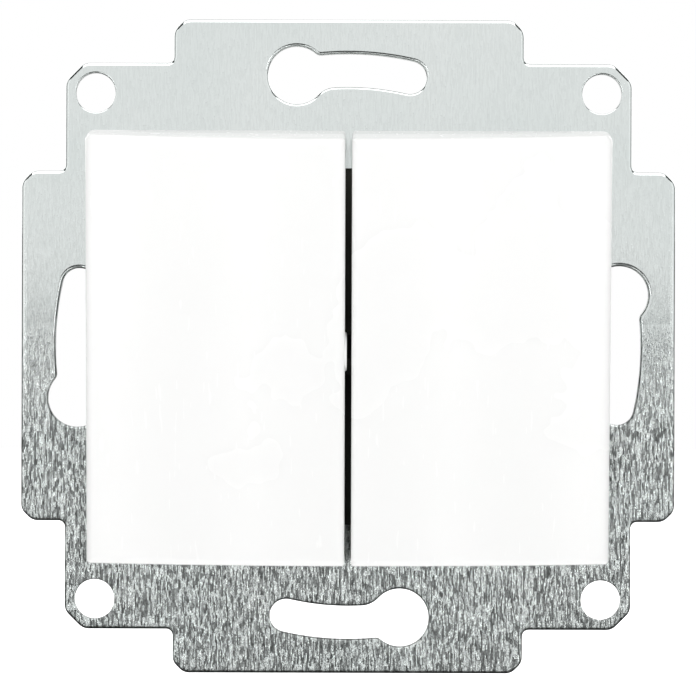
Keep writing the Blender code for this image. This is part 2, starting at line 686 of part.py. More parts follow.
def make_gang(word, side):
    """One rocker with all that turns with it, tilted to its rest position."""
    frame = pivot(f"pivot_rocker_{word}", side * GANG_X, -PIVOT, 0, TILT)
    make_rocker(word, side, frame)
    make_seesaw(word, side, frame)
    make_plunger(word, side, frame)
    coil_r = BORE_R - RUN_GAP - SPRING_WIRE / 2
    make_spring(f"plunger_spring_{word}", side * GANG_X, BORE_TOP + RUN_GAP,
                PLUNGER_TIP - PLUNGER_L - RUN_GAP, coil_r, SPRING_TURNS, frame)


# Contacts and strips


def rivet_profile(head_far, head_near, far_end):
    """A contact rivet from the face of its head, through the metal, to its upset end."""
    way = 1 if far_end > head_near else -1
    neck_end = far_end - way * RIVET_HEAD_T
    return [(0, head_far), (CONTACT_R * 0.8, head_far), (CONTACT_R, head_far + way * CONTACT_T * 0.3),
            (CONTACT_R, head_near), (RIVET_R, head_near), (RIVET_R, neck_end),
            (RIVET_HEAD_R, neck_end), (RIVET_HEAD_R, far_end), (0, far_end)]


def make_contact_arm(word, side):
    x = side * GANG_X
    frame = pivot(f"pivot_contact_arm_{word}", x, ARM_PIVOT_Y, 0, -ARM_TILT)
    rear = ARM_FRONT + ARM_T
    half_w, half_l, tab = ARM_HALF_W, ARM_HALF_L, ARM_HALF_W + ARM_TAB_REACH
    outline = [(half_w, -half_l + 1), (half_w, -ARM_TAB_HALF_H), (tab, -ARM_TAB_HALF_H),
               (tab, ARM_TAB_HALF_H), (half_w, ARM_TAB_HALF_H), (half_w, half_l - 1), (half_w - 1, half_l)]
    outline = outline + [(-u, v) for u, v in reversed(outline)]
    outline = outline + [(-half_w + 1, -half_l), (half_w - 1, -half_l)]
    arm = prism(f"contact_arm_{word}", [(x + u, v) for u, v in outline], "Y", ARM_FRONT, rear)
    hang(frame, arm)
    cut(arm, rod(f"arm_hole_{word}", RIVET_R + RUN_GAP, "Y", (x, -CONTACT_Z), ARM_FRONT - 1, rear + 1, 16))
    give_material(arm, COPPER)
    profile = rivet_profile(MOVING_REAR, rear + RUN_GAP, ARM_FRONT - RUN_GAP - RIVET_HEAD_T)
    contact = turned(f"moving_contact_{word}", profile, "Y", (x, -CONTACT_Z), 20)
    hang(frame, contact)
    smooth(contact)
    give_material(contact, SILVER)


def bent_strip(name, half_w, x, front, near, way):
    """A strip that runs along the plate, then turns back along Y at the terminal's level."""
    level = STRIP_LEVEL
    outline = [(front, near), (front, level + STRIP_T), (STRIP_END, level + STRIP_T),
               (STRIP_END, level), (front + STRIP_T, level), (front + STRIP_T, near)]
    outline = [(u, way * v) for u, v in outline]
    return prism(name, outline, "X", x - half_w, x + half_w)


def make_output_strip(word, side):
    x = side * GANG_X
    near = OUTPUT_SHELF - BASE_WALL / 2 - STRIP_LAP
    strip = bent_strip(f"output_strip_{word}", STRIP_HALF_W, x, OUTPUT_FRONT, near, -1)
    rear = OUTPUT_FRONT + STRIP_T
    cut(strip, rod(f"strip_hole_{word}", RIVET_R + RUN_GAP, "Y", (x, -CONTACT_Z),
                   OUTPUT_FRONT - 1, rear + 1, 16))
    give_material(strip, BRASS)
    profile = rivet_profile(FIXED_FRONT, FIXED_FRONT + CONTACT_T, rear + RUN_GAP + RIVET_HEAD_T)
    contact = turned(f"fixed_contact_{word}", profile, "Y", (x, -CONTACT_Z), 20)
    smooth(contact)
    give_material(contact, SILVER)


def make_common_strip():
    """The feed strip: a rail behind both arms, ears that carry them, and a leg to its terminal."""
    strip = bent_strip("common_strip", STRIP_HALF_W, 0.0, RAIL_FRONT, 0.0, 1)
    ear_near = ARM_HALF_W + FIT_GAP
    ear_far = ear_near + EAR_T
    rail_rear = RAIL_FRONT + STRIP_T
    join(strip, block("rail", (-RAIL_HALF, RAIL_HALF), (RAIL_FRONT, rail_rear), (-RAIL_HALF_H, RAIL_HALF_H)))
    ear_front = ARM_FRONT - EAR_LIP
    for gang in (-1, 1):
        for side in (-1, 1):
            x = sorted(gang * GANG_X + side * place for place in (ear_near, ear_far))
            join(strip, block(f"ear_{gang}_{side}", x, (ear_front, rail_rear - STRIP_T / 2),
                              (-EAR_HALF_H, EAR_HALF_H)))
    depth = ARM_PIVOT_Y + math.hypot(ARM_T / 2, ARM_TAB_HALF_H) + FIT_GAP
    cut(strip, block("ear_notches", (-RAIL_HALF - 1, RAIL_HALF + 1), (ear_front - 1, depth),
                     (-NOTCH_HALF, NOTCH_HALF)))
    give_material(strip, BRASS)


def make_terminal(name, x, way):
    """A lift clamp: the screw stays in place and draws the cage outwards as it turns."""
    inner_half = STRIP_HALF_W + FIT_GAP
    outer_half = inner_half + CAGE_WALL
    ends = sorted((way * (CAGE_FLOOR - CAGE_BOTTOM_T), way * (CAGE_ROOF + CAGE_TOP_T)))
    rear = CAGE_FRONT + CAGE_DEPTH
    cage = block(f"clamp_cage_{name}", (x - outer_half, x + outer_half), (CAGE_FRONT, rear), ends)
    cut(cage, block(f"cage_room_{name}", (x - inner_half, x + inner_half), (CAGE_FRONT - 1, rear + 1),
                    sorted((way * CAGE_FLOOR, way * CAGE_ROOF))))
    cut(cage, rod(f"cage_thread_{name}", TERMINAL_R + RUN_GAP, "Z", (x, TERMINAL_Y),
                  *sorted((way * (CAGE_ROOF - 0.5), way * (CAGE_ROOF + CAGE_TOP_T + 1))), 24))
    frame = pivot(f"slide_clamp_cage_{name}", x, TERMINAL_Y, way * CAGE_ROOF)
    hang(frame, cage)
    for tool in [step.object for step in cage.modifiers]:
        hang(frame, tool)
    give_material(cage, STEEL)
    tip = STRIP_LEVEL + STRIP_T + FIT_GAP
    seat, top = TERMINAL_SEAT, TERMINAL_TOP
    profile = [(0, tip), (TERMINAL_R * 0.7, tip), (TERMINAL_R, tip + 0.5), (TERMINAL_R, seat),
               (TERMINAL_HEAD_R, seat), (TERMINAL_HEAD_R, top - 0.3), (TERMINAL_HEAD_R - 0.3, top), (0, top)]
    profile = [(radius, way * z) for radius, z in profile]
    screw = turned(f"terminal_screw_{name}", profile, "Z", (x, TERMINAL_Y), 24)
    slot = block(f"terminal_screw_slot_{name}", (x - TERMINAL_HEAD_R - 1, x + TERMINAL_HEAD_R + 1),
                 (TERMINAL_Y - 0.4, TERMINAL_Y + 0.4), sorted((way * (top - 0.9), way * (top + 1))))
    cut(screw, slot)
    smooth(screw)
    give_material(screw, BRASS)


# Spreading claws


def claw_foot(side):
    """The foot seen from the front: three teeth along its outer edge."""
    inner = CLAW_X - CLAW_T / 2
    outer = CLAW_SLOT_END + CLAW_BRIDGE
    pitch = 2 * CLAW_HALF_H / 3
    edge = []
    for i in range(3):
        low = -CLAW_HALF_H + i * pitch
        edge += [(outer, low), (outer + TOOTH, low + pitch / 2)]
    edge += [(outer, CLAW_HALF_H)]
    return mirrored([(inner, -CLAW_HALF_H), *edge, (inner, CLAW_HALF_H)], side)


def make_claw(word, side):
    frame = pivot(f"pivot_claw_{word}", side * CLAW_X, CLAW_PIVOT_Y, 0)
    inner, outer = CLAW_X - CLAW_T / 2, CLAW_X + CLAW_T / 2
    claw = prism(f"claw_{word}", claw_foot(side), "Y", CLAW_END - CLAW_T, CLAW_END)
    hang(frame, claw)
    leg_x = sorted((side * inner, side * outer))
    join(
        claw,
        block(f"claw_leg_{word}", leg_x, (CLAW_PIVOT_Y, CLAW_END - CLAW_T / 2), (-CLAW_HALF_H, CLAW_HALF_H)),
        rod(f"claw_pin_{word}", CLAW_PIVOT_R, "Z", (side * CLAW_X, CLAW_PIVOT_Y),
            -CLAW_HALF_H - LUG_T, CLAW_HALF_H + LUG_T, 20),
    )
    cut(claw, block(f"claw_window_{word}", sorted((side * (inner - 1), side * CLAW_SLOT_END)),
                    (CLAW_PIVOT_Y + 2.0, CLAW_END + 1), (-CLAW_WINDOW_HALF, CLAW_WINDOW_HALF)))
    give_material(claw, STEEL)


def make_claw_screw(word, side):
    seat = PLATE_FRONT - FIT_GAP
    top = seat - CLAW_SCREW_HEAD_T
    end = CLAW_END + 2.0
    at = (side * CLAW_SCREW_X, 0)
    profile = [(0, top), (CLAW_SCREW_HEAD_R * 0.8, top), (CLAW_SCREW_HEAD_R, top + 0.7),
               (CLAW_SCREW_HEAD_R, seat), (CLAW_SCREW_R, seat), (CLAW_SCREW_R, end - 1), (0, end)]
    screw = turned(f"claw_screw_{word}", profile, "Y", at, 24)
    cross_slot(screw, at, "Y", top - 1, top + 1.2, CLAW_SCREW_HEAD_R * 1.2, 0.7)
    smooth(screw)
    give_material(screw, STEEL)


def build():
    clear_scene()
    make_support_plate()
    make_front_carrier()
    make_base_housing()
    make_carrier_screws()
    make_common_strip()
    for word, side in (("left", -1), ("right", 1)):
        make_gang(word, side)
        make_contact_arm(word, side)
        make_output_strip(word, side)
        make_claw(word, side)
        make_claw_screw(word, side)
    for terminal in terminal_places():
        make_terminal(*terminal)


build()
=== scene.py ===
"""Finish of a flush-mount two-gang rocker switch insert: its visible surfaces, materials, studio and camera.

The front faces -Y, +X is to the right and +Z is up. Sizes are in millimetres unless a name says
otherwise, and meshes are written in metres. Surfaces are arrays of points worked out from two
parameters: how far along an outline or round an axis, and how far along the profile.
"""

import json
import math

import bmesh
import bpy
import numpy as np
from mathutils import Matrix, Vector
from mathutils.geometry import tessellate_polygon


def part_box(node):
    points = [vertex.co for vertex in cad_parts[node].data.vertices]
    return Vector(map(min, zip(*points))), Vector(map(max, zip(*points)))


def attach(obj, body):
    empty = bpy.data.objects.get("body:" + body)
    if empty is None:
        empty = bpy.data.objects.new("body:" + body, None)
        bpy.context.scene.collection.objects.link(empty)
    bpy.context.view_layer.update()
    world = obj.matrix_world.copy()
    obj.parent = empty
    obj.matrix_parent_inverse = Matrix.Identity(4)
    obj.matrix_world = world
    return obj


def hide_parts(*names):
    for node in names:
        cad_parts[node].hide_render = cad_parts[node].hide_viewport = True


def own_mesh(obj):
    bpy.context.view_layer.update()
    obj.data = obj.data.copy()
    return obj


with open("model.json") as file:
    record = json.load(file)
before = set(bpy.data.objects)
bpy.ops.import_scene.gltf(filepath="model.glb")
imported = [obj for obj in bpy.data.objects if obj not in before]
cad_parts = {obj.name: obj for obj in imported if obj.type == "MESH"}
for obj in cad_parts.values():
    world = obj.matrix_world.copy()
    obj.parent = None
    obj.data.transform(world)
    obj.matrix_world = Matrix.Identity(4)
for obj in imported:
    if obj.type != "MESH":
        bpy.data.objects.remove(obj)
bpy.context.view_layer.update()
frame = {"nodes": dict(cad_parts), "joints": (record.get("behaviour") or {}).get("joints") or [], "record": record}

MM = 0.001
FULL = 2 * math.pi


def mm_box(node):
    """A node's lowest and highest corner in millimetres."""
    low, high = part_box(node)
    return np.array(low) / MM, np.array(high) / MM


def joint_place(name):
    """Where a hinge's axis stands, in millimetres."""
    for joint in frame["joints"]:
        if joint["name"] == name:
            return np.array(joint["pos_m"]) / MM
    raise ValueError(name)


# Support plate
PLATE_LOW, PLATE_HIGH = mm_box("support_plate")
HALF = PLATE_HIGH[0]
PLATE_FRONT = PLATE_LOW[1]
TAB_HALF = 19.0
TAB_REACH = 4.75
TAB_CHAMFER = 1.2
CORNER_HALF = HALF - TAB_REACH
CORNER_CHAMFER = 2.0
INNER_FILLET = 0.7
HOLE_SPACING = 55.0
HOLE_R = 2.15
SLOT_R = 30.0
SLOT_W = 3.6
SLOT_HEAD_R = 3.15
SLOT_HEAD_ANGLE = math.radians(100.9)
SLOT_END_ANGLE = math.radians(77.2)
NECK_INNER_R = 2.6
NECK_OUTER_R = 0.9
OPENING_HALF = 16.2
OPENING_CHAMFER = 5.0
CORNER_R = 1.5  # of the outline's outward corners, seen from the front
RIM_ROLL = (0.5, 0.34)  # width and depth of the edge that the punch draws in, on the outline
SLOT_ROLL = (0.34, 0.26)
HOLE_ROLL = (0.16, 0.12)
BURR = 0.05
HAIRLINES_PER_MM = 7.5

# Rocker caps
CAP_HALF_W = 28.15  # from the middle of the pair to a cap's outer side
CAP_HALF_H = 23.4  # at the end of the skirt
CAP_DRAFT = math.tan(math.radians(4.5))  # of the top and bottom walls
CAP_GAP = 0.7
CAP_WALL = 1.3
CAP_ROUND = 0.85
CAP_CORNER_R = 0.85
CROWN = 11.19
CROWN_R = 110.0
TILT = math.radians(6.0)
SKIRT_REAR = -4.301
GAP_WALL_REAR = -4.926
NOTCH_REAR = -6.7
NOTCH_HALF = 4.2
PAD_R = 2.1
PAD_OUT = 0.2
PAD_Y = -8.65
PEG_HALF_W = 2.5
PEG_HALF_T = 0.8
PEG_Z = 8.0
PEG_REAR = -4.56

# Plunger springs, before the rocker's tilt
SPRING_FROM = -4.808
SPRING_TO = 0.25
SPRING_R = 1.12
SPRING_WIRE_R = 0.18
SPRING_ACTIVE = 5

# Screws
CLAW_PITCH = 0.6
TERMINAL_PITCH = 0.6
CARRIER_PITCH = 0.55
THREAD_DEPTH = 0.2


# Points, faces and objects


def grid_faces(rows, columns, start=0):
    """Quads of a grid whose columns close on themselves, row by row."""
    i, j = np.meshgrid(np.arange(rows - 1), np.arange(columns), indexing="ij")
    k = (j + 1) % columns
    quads = np.stack([i * columns + j, i * columns + k, (i + 1) * columns + k, (i + 1) * columns + j], -1)
    return (start + quads.reshape(-1, 4)).tolist()


def fan(pole, ring):
    """Triangles from one point to a closed ring of points."""
    return [[pole, a, b] for a, b in zip(ring, np.roll(ring, -1))]


def capped_grid(points):
    """A closed skin: a grid of rings (rows, columns, 3), its first and last ring closed by a middle point."""
    rows, columns = points.shape[:2]
    body = points.reshape(-1, 3)
    poles = np.array([points[0].mean(0), points[-1].mean(0)])
    first, last = np.arange(columns), np.arange((rows - 1) * columns, rows * columns)
    count = rows * columns
    faces = grid_faces(rows, columns) + fan(count, first.tolist()) + fan(count + 1, last.tolist())
    return np.vstack([body, poles]), faces


def several(*skins):
    """Several closed skins as one list of points and faces."""
    points, faces, start = [], [], 0
    for skin_points, skin_faces in skins:
        points.append(skin_points)
        faces += [[start + int(i) for i in face] for face in skin_faces]
        start += len(skin_points)
    return np.vstack(points), faces


def make_piece(name, skin, material, body, slot, *nodes, sharp=40):
    """A finished piece from a skin in millimetres, merged, pointing out and smooth between sharp edges."""
    points, faces = skin
    mesh = bpy.data.meshes.new(name)
    mesh.from_pydata((np.asarray(points) * MM).tolist(), [], faces)
    built = bmesh.new()
    built.from_mesh(mesh)
    bmesh.ops.remove_doubles(built, verts=built.verts, dist=1e-7)
    bmesh.ops.recalc_face_normals(built, faces=built.faces)
    built.to_mesh(mesh)
    built.free()
    mesh.shade_smooth()
    mesh.set_sharp_from_angle(angle=math.radians(sharp))
    piece = bpy.data.objects.new(name, mesh)
    bpy.context.scene.collection.objects.link(piece)
    mesh.materials.append(material)
    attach(piece, body)
    if nodes:
        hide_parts(*nodes)
    return piece


def softened(node, width, material, body, sharp=34):
    """The node's own solid with its triangles merged, its flat faces joined and its edges rounded."""
    mesh = frame["nodes"][node].data.copy()
    mesh.name = f"{node}_moulding"
    built = bmesh.new()
    built.from_mesh(mesh)
    bmesh.ops.remove_doubles(built, verts=built.verts, dist=2e-6)
    bmesh.ops.dissolve_limit(built, angle_limit=math.radians(0.6), verts=built.verts, edges=built.edges)
    built.to_mesh(mesh)
    built.free()
    mesh.shade_smooth()
    piece = bpy.data.objects.new(f"{node}_finish", mesh)
    bpy.context.scene.collection.objects.link(piece)
    mesh.materials.clear()
    mesh.materials.append(material)
    rounding = piece.modifiers.new("rounded_edges", "BEVEL")
    rounding.width = width * MM
    rounding.segments = 3
    rounding.limit_method = "ANGLE"
    rounding.angle_limit = math.radians(sharp)
    rounding.miter_outer = "MITER_ARC"
    even = piece.modifiers.new("flat_faces_stay_flat", "WEIGHTED_NORMAL")
    even.keep_sharp = True
    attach(piece, body)
    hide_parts(node)
    return piece


# Outlines


def arc(centre, radius, start, end, steps):
    """Points of an arc, both ends included: centre plus radius times (cos, sin)."""
    a = np.linspace(start, end, steps + 1)
    return np.stack([centre[0] + radius * np.cos(a), centre[1] + radius * np.sin(a)], -1)


def circle(centre, radius, steps=48):
    return arc(centre, radius, 0, FULL, steps)[:-1]


def rounded(points, radius, steps=6):
    """A closed outline with each corner of more than 20 degrees replaced by an arc."""
    points = np.asarray(points, float)
    result = []
    for before, corner, after in zip(np.roll(points, 1, 0), points, np.roll(points, -1, 0)):
        back, ahead = before - corner, after - corner
        back_l, ahead_l = np.linalg.norm(back), np.linalg.norm(ahead)
        back, ahead = back / back_l, ahead / ahead_l
        inside = math.acos(np.clip(back @ ahead, -1, 1))
        reach = radius / math.tan(inside / 2)
        if math.pi - inside < math.radians(20) or reach > 0.49 * min(back_l, ahead_l):
            result.append(corner[None])
            continue
        middle = corner + (back + ahead) / np.linalg.norm(back + ahead) * radius / math.sin(inside / 2)
        start, end = corner + back * reach - middle, corner + ahead * reach - middle
        a0, a1 = math.atan2(start[1], start[0]), math.atan2(end[1], end[0])
        turn = (a1 - a0 + math.pi) % FULL - math.pi
        result.append(arc(middle, radius, a0, a0 + turn, steps))
    return np.vstack(result)


def quarter_turned(points, quarters):
    """Points turned by so many quarter turns about the plate's middle."""
    for _ in range(quarters):
        points = np.stack([-points[:, 1], points[:, 0]], -1)
    return points


def miter_normals(points):
    """At each point of a counter-clockwise outline, the way out of it, as long as a corner needs."""
    ahead = np.roll(points, -1, 0) - points
    ahead /= np.linalg.norm(ahead, axis=1, keepdims=True)
    out = np.stack([ahead[:, 1], -ahead[:, 0]], -1)
    both = out + np.roll(out, 1, 0)
    both /= np.linalg.norm(both, axis=1, keepdims=True)
    return both / np.clip((both * out).sum(1, keepdims=True), 0.4, 1)


def plate_outline():
    """The rim: a quarter from the right tab to the top tab, and its three turned copies."""
    fillet = INNER_FILLET
    into_corner = arc((CORNER_HALF + fillet, TAB_HALF + fillet), fillet, 1.5 * math.pi, math.pi, 7)
    out_of_corner = arc((TAB_HALF + fillet, CORNER_HALF + fillet), fillet, 1.5 * math.pi, math.pi, 7)
    quarter = np.vstack([
        [(HALF, TAB_HALF - TAB_CHAMFER), (HALF - TAB_CHAMFER, TAB_HALF)],
        into_corner,
        [(CORNER_HALF, CORNER_HALF - CORNER_CHAMFER), (CORNER_HALF - CORNER_CHAMFER, CORNER_HALF)],
        out_of_corner,
        [(TAB_HALF, HALF - TAB_CHAMFER), (TAB_HALF - TAB_CHAMFER, HALF)],
    ])
    return rounded(np.vstack([quarter_turned(quarter, turn) for turn in range(4)]), CORNER_R)


def neck(side, fillet):
    """The fillet between a slot's wide end and one of its long sides: its centre and where it ends."""
    centre_r = SLOT_R + side * (SLOT_W / 2 + fillet)
    reach = SLOT_HEAD_R + fillet
    swing = math.acos((SLOT_R**2 + centre_r**2 - reach**2) / (2 * SLOT_R * centre_r))
    angle = SLOT_HEAD_ANGLE - swing
    return np.array([centre_r * math.cos(angle), centre_r * math.sin(angle)]), angle


def slot_outline():
    """The top tab's keyhole slot, counter-clockwise: two arcs about the plate's middle, a narrow round
    end, a wide round end and the two fillets of its neck."""
    head, end = SLOT_HEAD_ANGLE, SLOT_END_ANGLE
    head_at = SLOT_R * np.array([math.cos(head), math.sin(head)])
    end_at = SLOT_R * np.array([math.cos(end), math.sin(end)])
    outer_at, outer_angle = neck(1, NECK_OUTER_R)
    inner_at, inner_angle = neck(-1, NECK_INNER_R)
    to_outer = math.atan2(outer_at[1] - head_at[1], outer_at[0] - head_at[0])
    to_inner = math.atan2(inner_at[1] - head_at[1], inner_at[0] - head_at[0])
    return np.vstack([
        arc(end_at, SLOT_W / 2, end - math.pi, end, 20),
        arc((0, 0), SLOT_R + SLOT_W / 2, end, outer_angle, 20)[1:],
        arc(outer_at, NECK_OUTER_R, outer_angle - math.pi, to_outer - math.pi, 8)[1:],
        arc(head_at, SLOT_HEAD_R, to_outer, to_inner + FULL, 44)[1:],
        arc(inner_at, NECK_INNER_R, to_inner + math.pi, inner_angle, 10)[1:],
        arc((0, 0), SLOT_R - SLOT_W / 2, inner_angle, end, 20)[1:-1],
    ])


def chamfered_square(half, chamfer):
    """A square with its corners cut off, counter-clockwise."""
    corner = np.array([(half, half - chamfer), (half - chamfer, half)])
    return np.vstack([quarter_turned(corner, turn) for turn in range(4)])


# Support plate


def rolled_edge(loop, side, roll):
    """The edge of a punched sheet carried along an outline, as rings from the front face to the rear face.

    side is 1 where the metal is inside the outline and -1 where it is outside. The front edge is a
    quarter ellipse, the rear edge a small straight burr. The outermost flat ring keeps the face flat.
    """
    width, depth = roll
    swing = np.linspace(math.pi / 2, 0, 7)
    inset = np.concatenate([[width + 0.06], width * (1 - np.cos(swing)), [0.0, BURR, BURR + 0.06]])
    level = np.concatenate([[PLATE_FRONT], PLATE_FRONT + depth * (1 - np.sin(swing)), [-BURR, 0.0, 0.0]])
    out = miter_normals(loop) * side
    flat = loop[None] - out[None] * inset[:, None, None]
    return np.stack([flat[..., 0], np.broadcast_to(level[:, None], flat.shape[:2]), flat[..., 1]], -1)


def plate_skin(loops):
    """Both flat faces, filled between the edges' first and last rings, and every edge."""
    points, faces, fronts, rears, start = [], [], [], [], 0
    for loop, side, roll in loops:
        rings = rolled_edge(loop, side, roll)
        rows, columns = rings.shape[:2]
        points.append(rings.reshape(-1, 3))
        faces += grid_faces(rows, columns, start)
        fronts.append(start + np.arange(columns))
        rears.append(start + (rows - 1) * columns + np.arange(columns))
        start += rows * columns
    points = np.vstack(points)
    for rings in (fronts, rears):
        order = np.concatenate(rings)
        flat = [[Vector((points[i][0], points[i][2], 0)) for i in ring] for ring in rings]
        faces += [[int(order[i]) for i in triangle] for triangle in tessellate_polygon(flat)]
    return points, faces


def make_support_plate(material):
    claw_low, claw_high = mm_box("claw_screw_right")
    claw_x = (claw_low[0] + claw_high[0]) / 2
    screw_low, screw_high = mm_box("carrier_screw_top_right")
    screw_x = (screw_low[0] + screw_high[0]) / 2
    loops = [(plate_outline(), 1, RIM_ROLL)]
    loops += [(quarter_turned(slot_outline(), turn), -1, SLOT_ROLL) for turn in range(4)]
    loops.append((rounded(chamfered_square(OPENING_HALF, OPENING_CHAMFER), 0.5), -1, SLOT_ROLL))
    loops += [(circle((x * claw_x, 0), 1.8), -1, HOLE_ROLL) for x in (-1, 1)]
    for x in (-1, 1):
        for z in (-1, 1):
            loops.append((circle((x * HOLE_SPACING / 2, z * HOLE_SPACING / 2), HOLE_R), -1, HOLE_ROLL))
            loops.append((circle((x * screw_x, z * screw_x), 1.25, 32), -1, HOLE_ROLL))
    make_piece("punched_plate", plate_skin(loops), material, "frame", "zinc_steel_plate", "support_plate",
               sharp=60)


# Rocker caps


def crown_y(x):
    """The cap face, a cylinder of radius CROWN_R about an upright axis behind it."""
    return -CROWN + CROWN_R - np.sqrt(CROWN_R**2 - x**2)


def between(a, b, count):
    """Points between a and b, both left out."""
    return a + (b - a) * (np.arange(1, count + 1) / (count + 1))[:, None]


def cap_loop(side, inset):
    """A cap's outline seen from the front, drawn in by an inset: a rectangle whose corner arcs shrink
    with it and never fold over. Every inset gives the same number of points, counter-clockwise."""
    inner, outer, top = CAP_GAP / 2 + inset, CAP_HALF_W - inset, CAP_HALF_H - inset
    corners = [(inner, -top, 0.3), (outer, -top, 0.45), (outer, top, CAP_CORNER_R), (inner, top, 0.45)]
    arcs = []
    for quarter, (x, z, full) in enumerate(corners):
        radius = max(full - inset, 0.04)
        toward = np.array([1 if x == outer else -1, 1 if z > 0 else -1])
        start = math.pi + quarter * math.pi / 2
        arcs.append(arc(np.array([x, z]) - toward * radius, radius, start, start + math.pi / 2, 6))
    counts = (30, 52, 30, 52)
    loop = [np.vstack([a, between(a[-1], b[0], n)]) for a, b, n in zip(arcs, arcs[1:] + arcs[:1], counts)]
    loop = np.vstack(loop)
    loop[:, 0] *= side
    return loop if side > 0 else loop[::-1]


def rear_level(points):
    """How far back the skirt reaches: less on the side of the gap, and least over the centre post."""
    by_gap = np.abs(points[:, 0]) < CAP_GAP / 2 + 0.1
    level = np.where(by_gap & (np.abs(points[:, 1]) < CAP_HALF_H - CAP_WALL), GAP_WALL_REAR, SKIRT_REAR)
    return np.where(by_gap & (np.abs(points[:, 1]) < NOTCH_HALF), NOTCH_REAR, level)


def cap_rings(side):
    """The cap's whole wall as one profile carried along its outline.

    Each station is (inset from the outline, depth behind the crowned face, share of the way from
    there to the skirt's rear). It runs from the face's middle over the rounded edge, down the side,
    round the skirt's end, up the inside and back to the middle of the inner face. Then the whole
    wall is drawn in towards the face by the draft.
    """
    middle = np.array([side * (CAP_GAP / 2 + CAP_HALF_W) / 2, 0.0])
    rear = rear_level(cap_loop(side, 0.0))
    swing = np.linspace(math.pi / 2, 0, 9)
    stations = [(CAP_ROUND + 0.3, 0.0, 0.0)]
    stations += [(CAP_ROUND * (1 - math.cos(a)), CAP_ROUND * (1 - math.sin(a)), 0.0) for a in swing]
    stations += [(0.0, CAP_ROUND, 0.5), (0.0, CAP_ROUND, 0.97), (0.12, CAP_ROUND, 1.0)]
    stations += [(CAP_WALL - 0.12, CAP_WALL, 1.0), (CAP_WALL, CAP_WALL, 0.95)]
    stations += [(CAP_WALL, CAP_WALL + 0.4, 0.0)]
    stations += [(CAP_WALL + 0.12, CAP_WALL + 0.12, 0.0), (CAP_WALL + 0.4, CAP_WALL, 0.0)]
    rings = []
    for inset, depth, share in stations:
        flat = cap_loop(side, inset)
        y = (crown_y(flat[:, 0]) + depth) * (1 - share) + rear * share
        rings.append(np.stack([flat[:, 0], y, flat[:, 1]], -1))
    shares = np.linspace(0, 1, 26)[1:-1]
    face = [shrunk(rings[0], middle, share, 0.0) for share in shares]
    inner = [shrunk(rings[-1], middle, share, CAP_WALL) for share in shares[::-4]]
    wall = np.stack(face + rings + inner)
    wall[..., 2] *= 1 - (SKIRT_REAR - wall[..., 1]) * CAP_DRAFT / CAP_HALF_H
    return wall


def shrunk(ring, middle, share, depth):
    """A ring drawn in towards the cap's middle, and set back on the crowned face again."""
    x = middle[0] + (ring[:, 0] - middle[0]) * share
    z = middle[1] + (ring[:, 2] - middle[1]) * share
    return np.stack([x, crown_y(x) + depth, z], -1)


def rounded_bar(x, y, z, radius):
    """A bar with rounded long edges: a rounded rectangle across X and Z, carried along Y."""
    corners = np.array([(x[0], z[0]), (x[1], z[0]), (x[1], z[1]), (x[0], z[1])])
    loop = rounded(corners, radius, 5)
    rings = [np.stack([loop[:, 0], np.full(len(loop), level), loop[:, 1]], -1) for level in y]
    return capped_grid(np.stack(rings))


def turned_skin(profile, axis, centre, steps=40):
    """A profile of (radius, place along the axis) turned about the axis: radius times (cos, sin)."""
    profile = np.asarray(profile, float)
    a = np.linspace(0, FULL, steps, endpoint=False)
    radius, place = profile[:, :1], np.repeat(profile[:, 1:], steps, 1)
    u = centre[0] + radius * np.cos(a)
    v = centre[1] + radius * np.sin(a)
    order = {"X": (place, u, v), "Y": (u, place, v), "Z": (u, v, place)}[axis]
    return capped_grid(np.stack(order, -1))


def tilted(points, pivot, angle):
    """Points turned about an X axis through the pivot."""
    y, z = points[:, 1] - pivot[1], points[:, 2] - pivot[2]
    return np.stack([
        points[:, 0],
        pivot[1] + y * math.cos(angle) - z * math.sin(angle),
        pivot[2] + y * math.sin(angle) + z * math.cos(angle),
    ], -1)


def make_rocker(word, side, material):
    pivot = joint_place(f"{word}_rocker_press")
    skins = [capped_grid(cap_rings(side))]
    centre = pivot[0]
    for z in (-PEG_Z, PEG_Z):
        front = float(crown_y(centre)) + CAP_WALL / 2
        depths = (front, PEG_REAR + 0.3, PEG_REAR)
        skins.append(rounded_bar((centre - PEG_HALF_W, centre + PEG_HALF_W), depths,
                                 (z - PEG_HALF_T, z + PEG_HALF_T), 0.25))
    if side < 0:
        base, top = -CAP_GAP / 2 - CAP_WALL / 2, -CAP_GAP / 2 + PAD_OUT
        pad = [(PAD_R, base), (PAD_R, top - 0.12), (PAD_R - 0.12, top), (0.02, top)]
        skins.append(turned_skin([(0.02, base)] + pad, "X", (PAD_Y, 0)))
    points, faces = several(*skins)
    make_piece(f"cap_{word}", (tilted(points, pivot, TILT), faces), material, f"{word}_rocker", "white_caps",
               f"rocker_{word}", sharp=50)


# Plunger springs


def spring_skin(x):
    """A helix of round wire about a line along Y: five open turns between two nearly closed ones.

    Its middle line is centre + SPRING_R * (cos, sin) of the turn, at a place that rises slowly over
    the first and last turn, and the wire is a circle carried along it.
    """
    turns = SPRING_ACTIVE + 2
    t = np.linspace(0, turns, turns * 36 + 1)
    low, high, closed = SPRING_FROM + SPRING_WIRE_R, SPRING_TO - SPRING_WIRE_R, 0.46
    place = np.interp(t, [0, 1, turns - 1, turns], [low, low + closed, high - closed, high])[:, None]
    b = np.linspace(0, FULL, 12, endpoint=False)
    out = SPRING_R + SPRING_WIRE_R * np.cos(b)[None]
    turn = FULL * t[:, None]
    return capped_grid(np.stack([x + out * np.cos(turn), place + SPRING_WIRE_R * np.sin(b)[None],
                                 out * np.sin(turn)], -1))


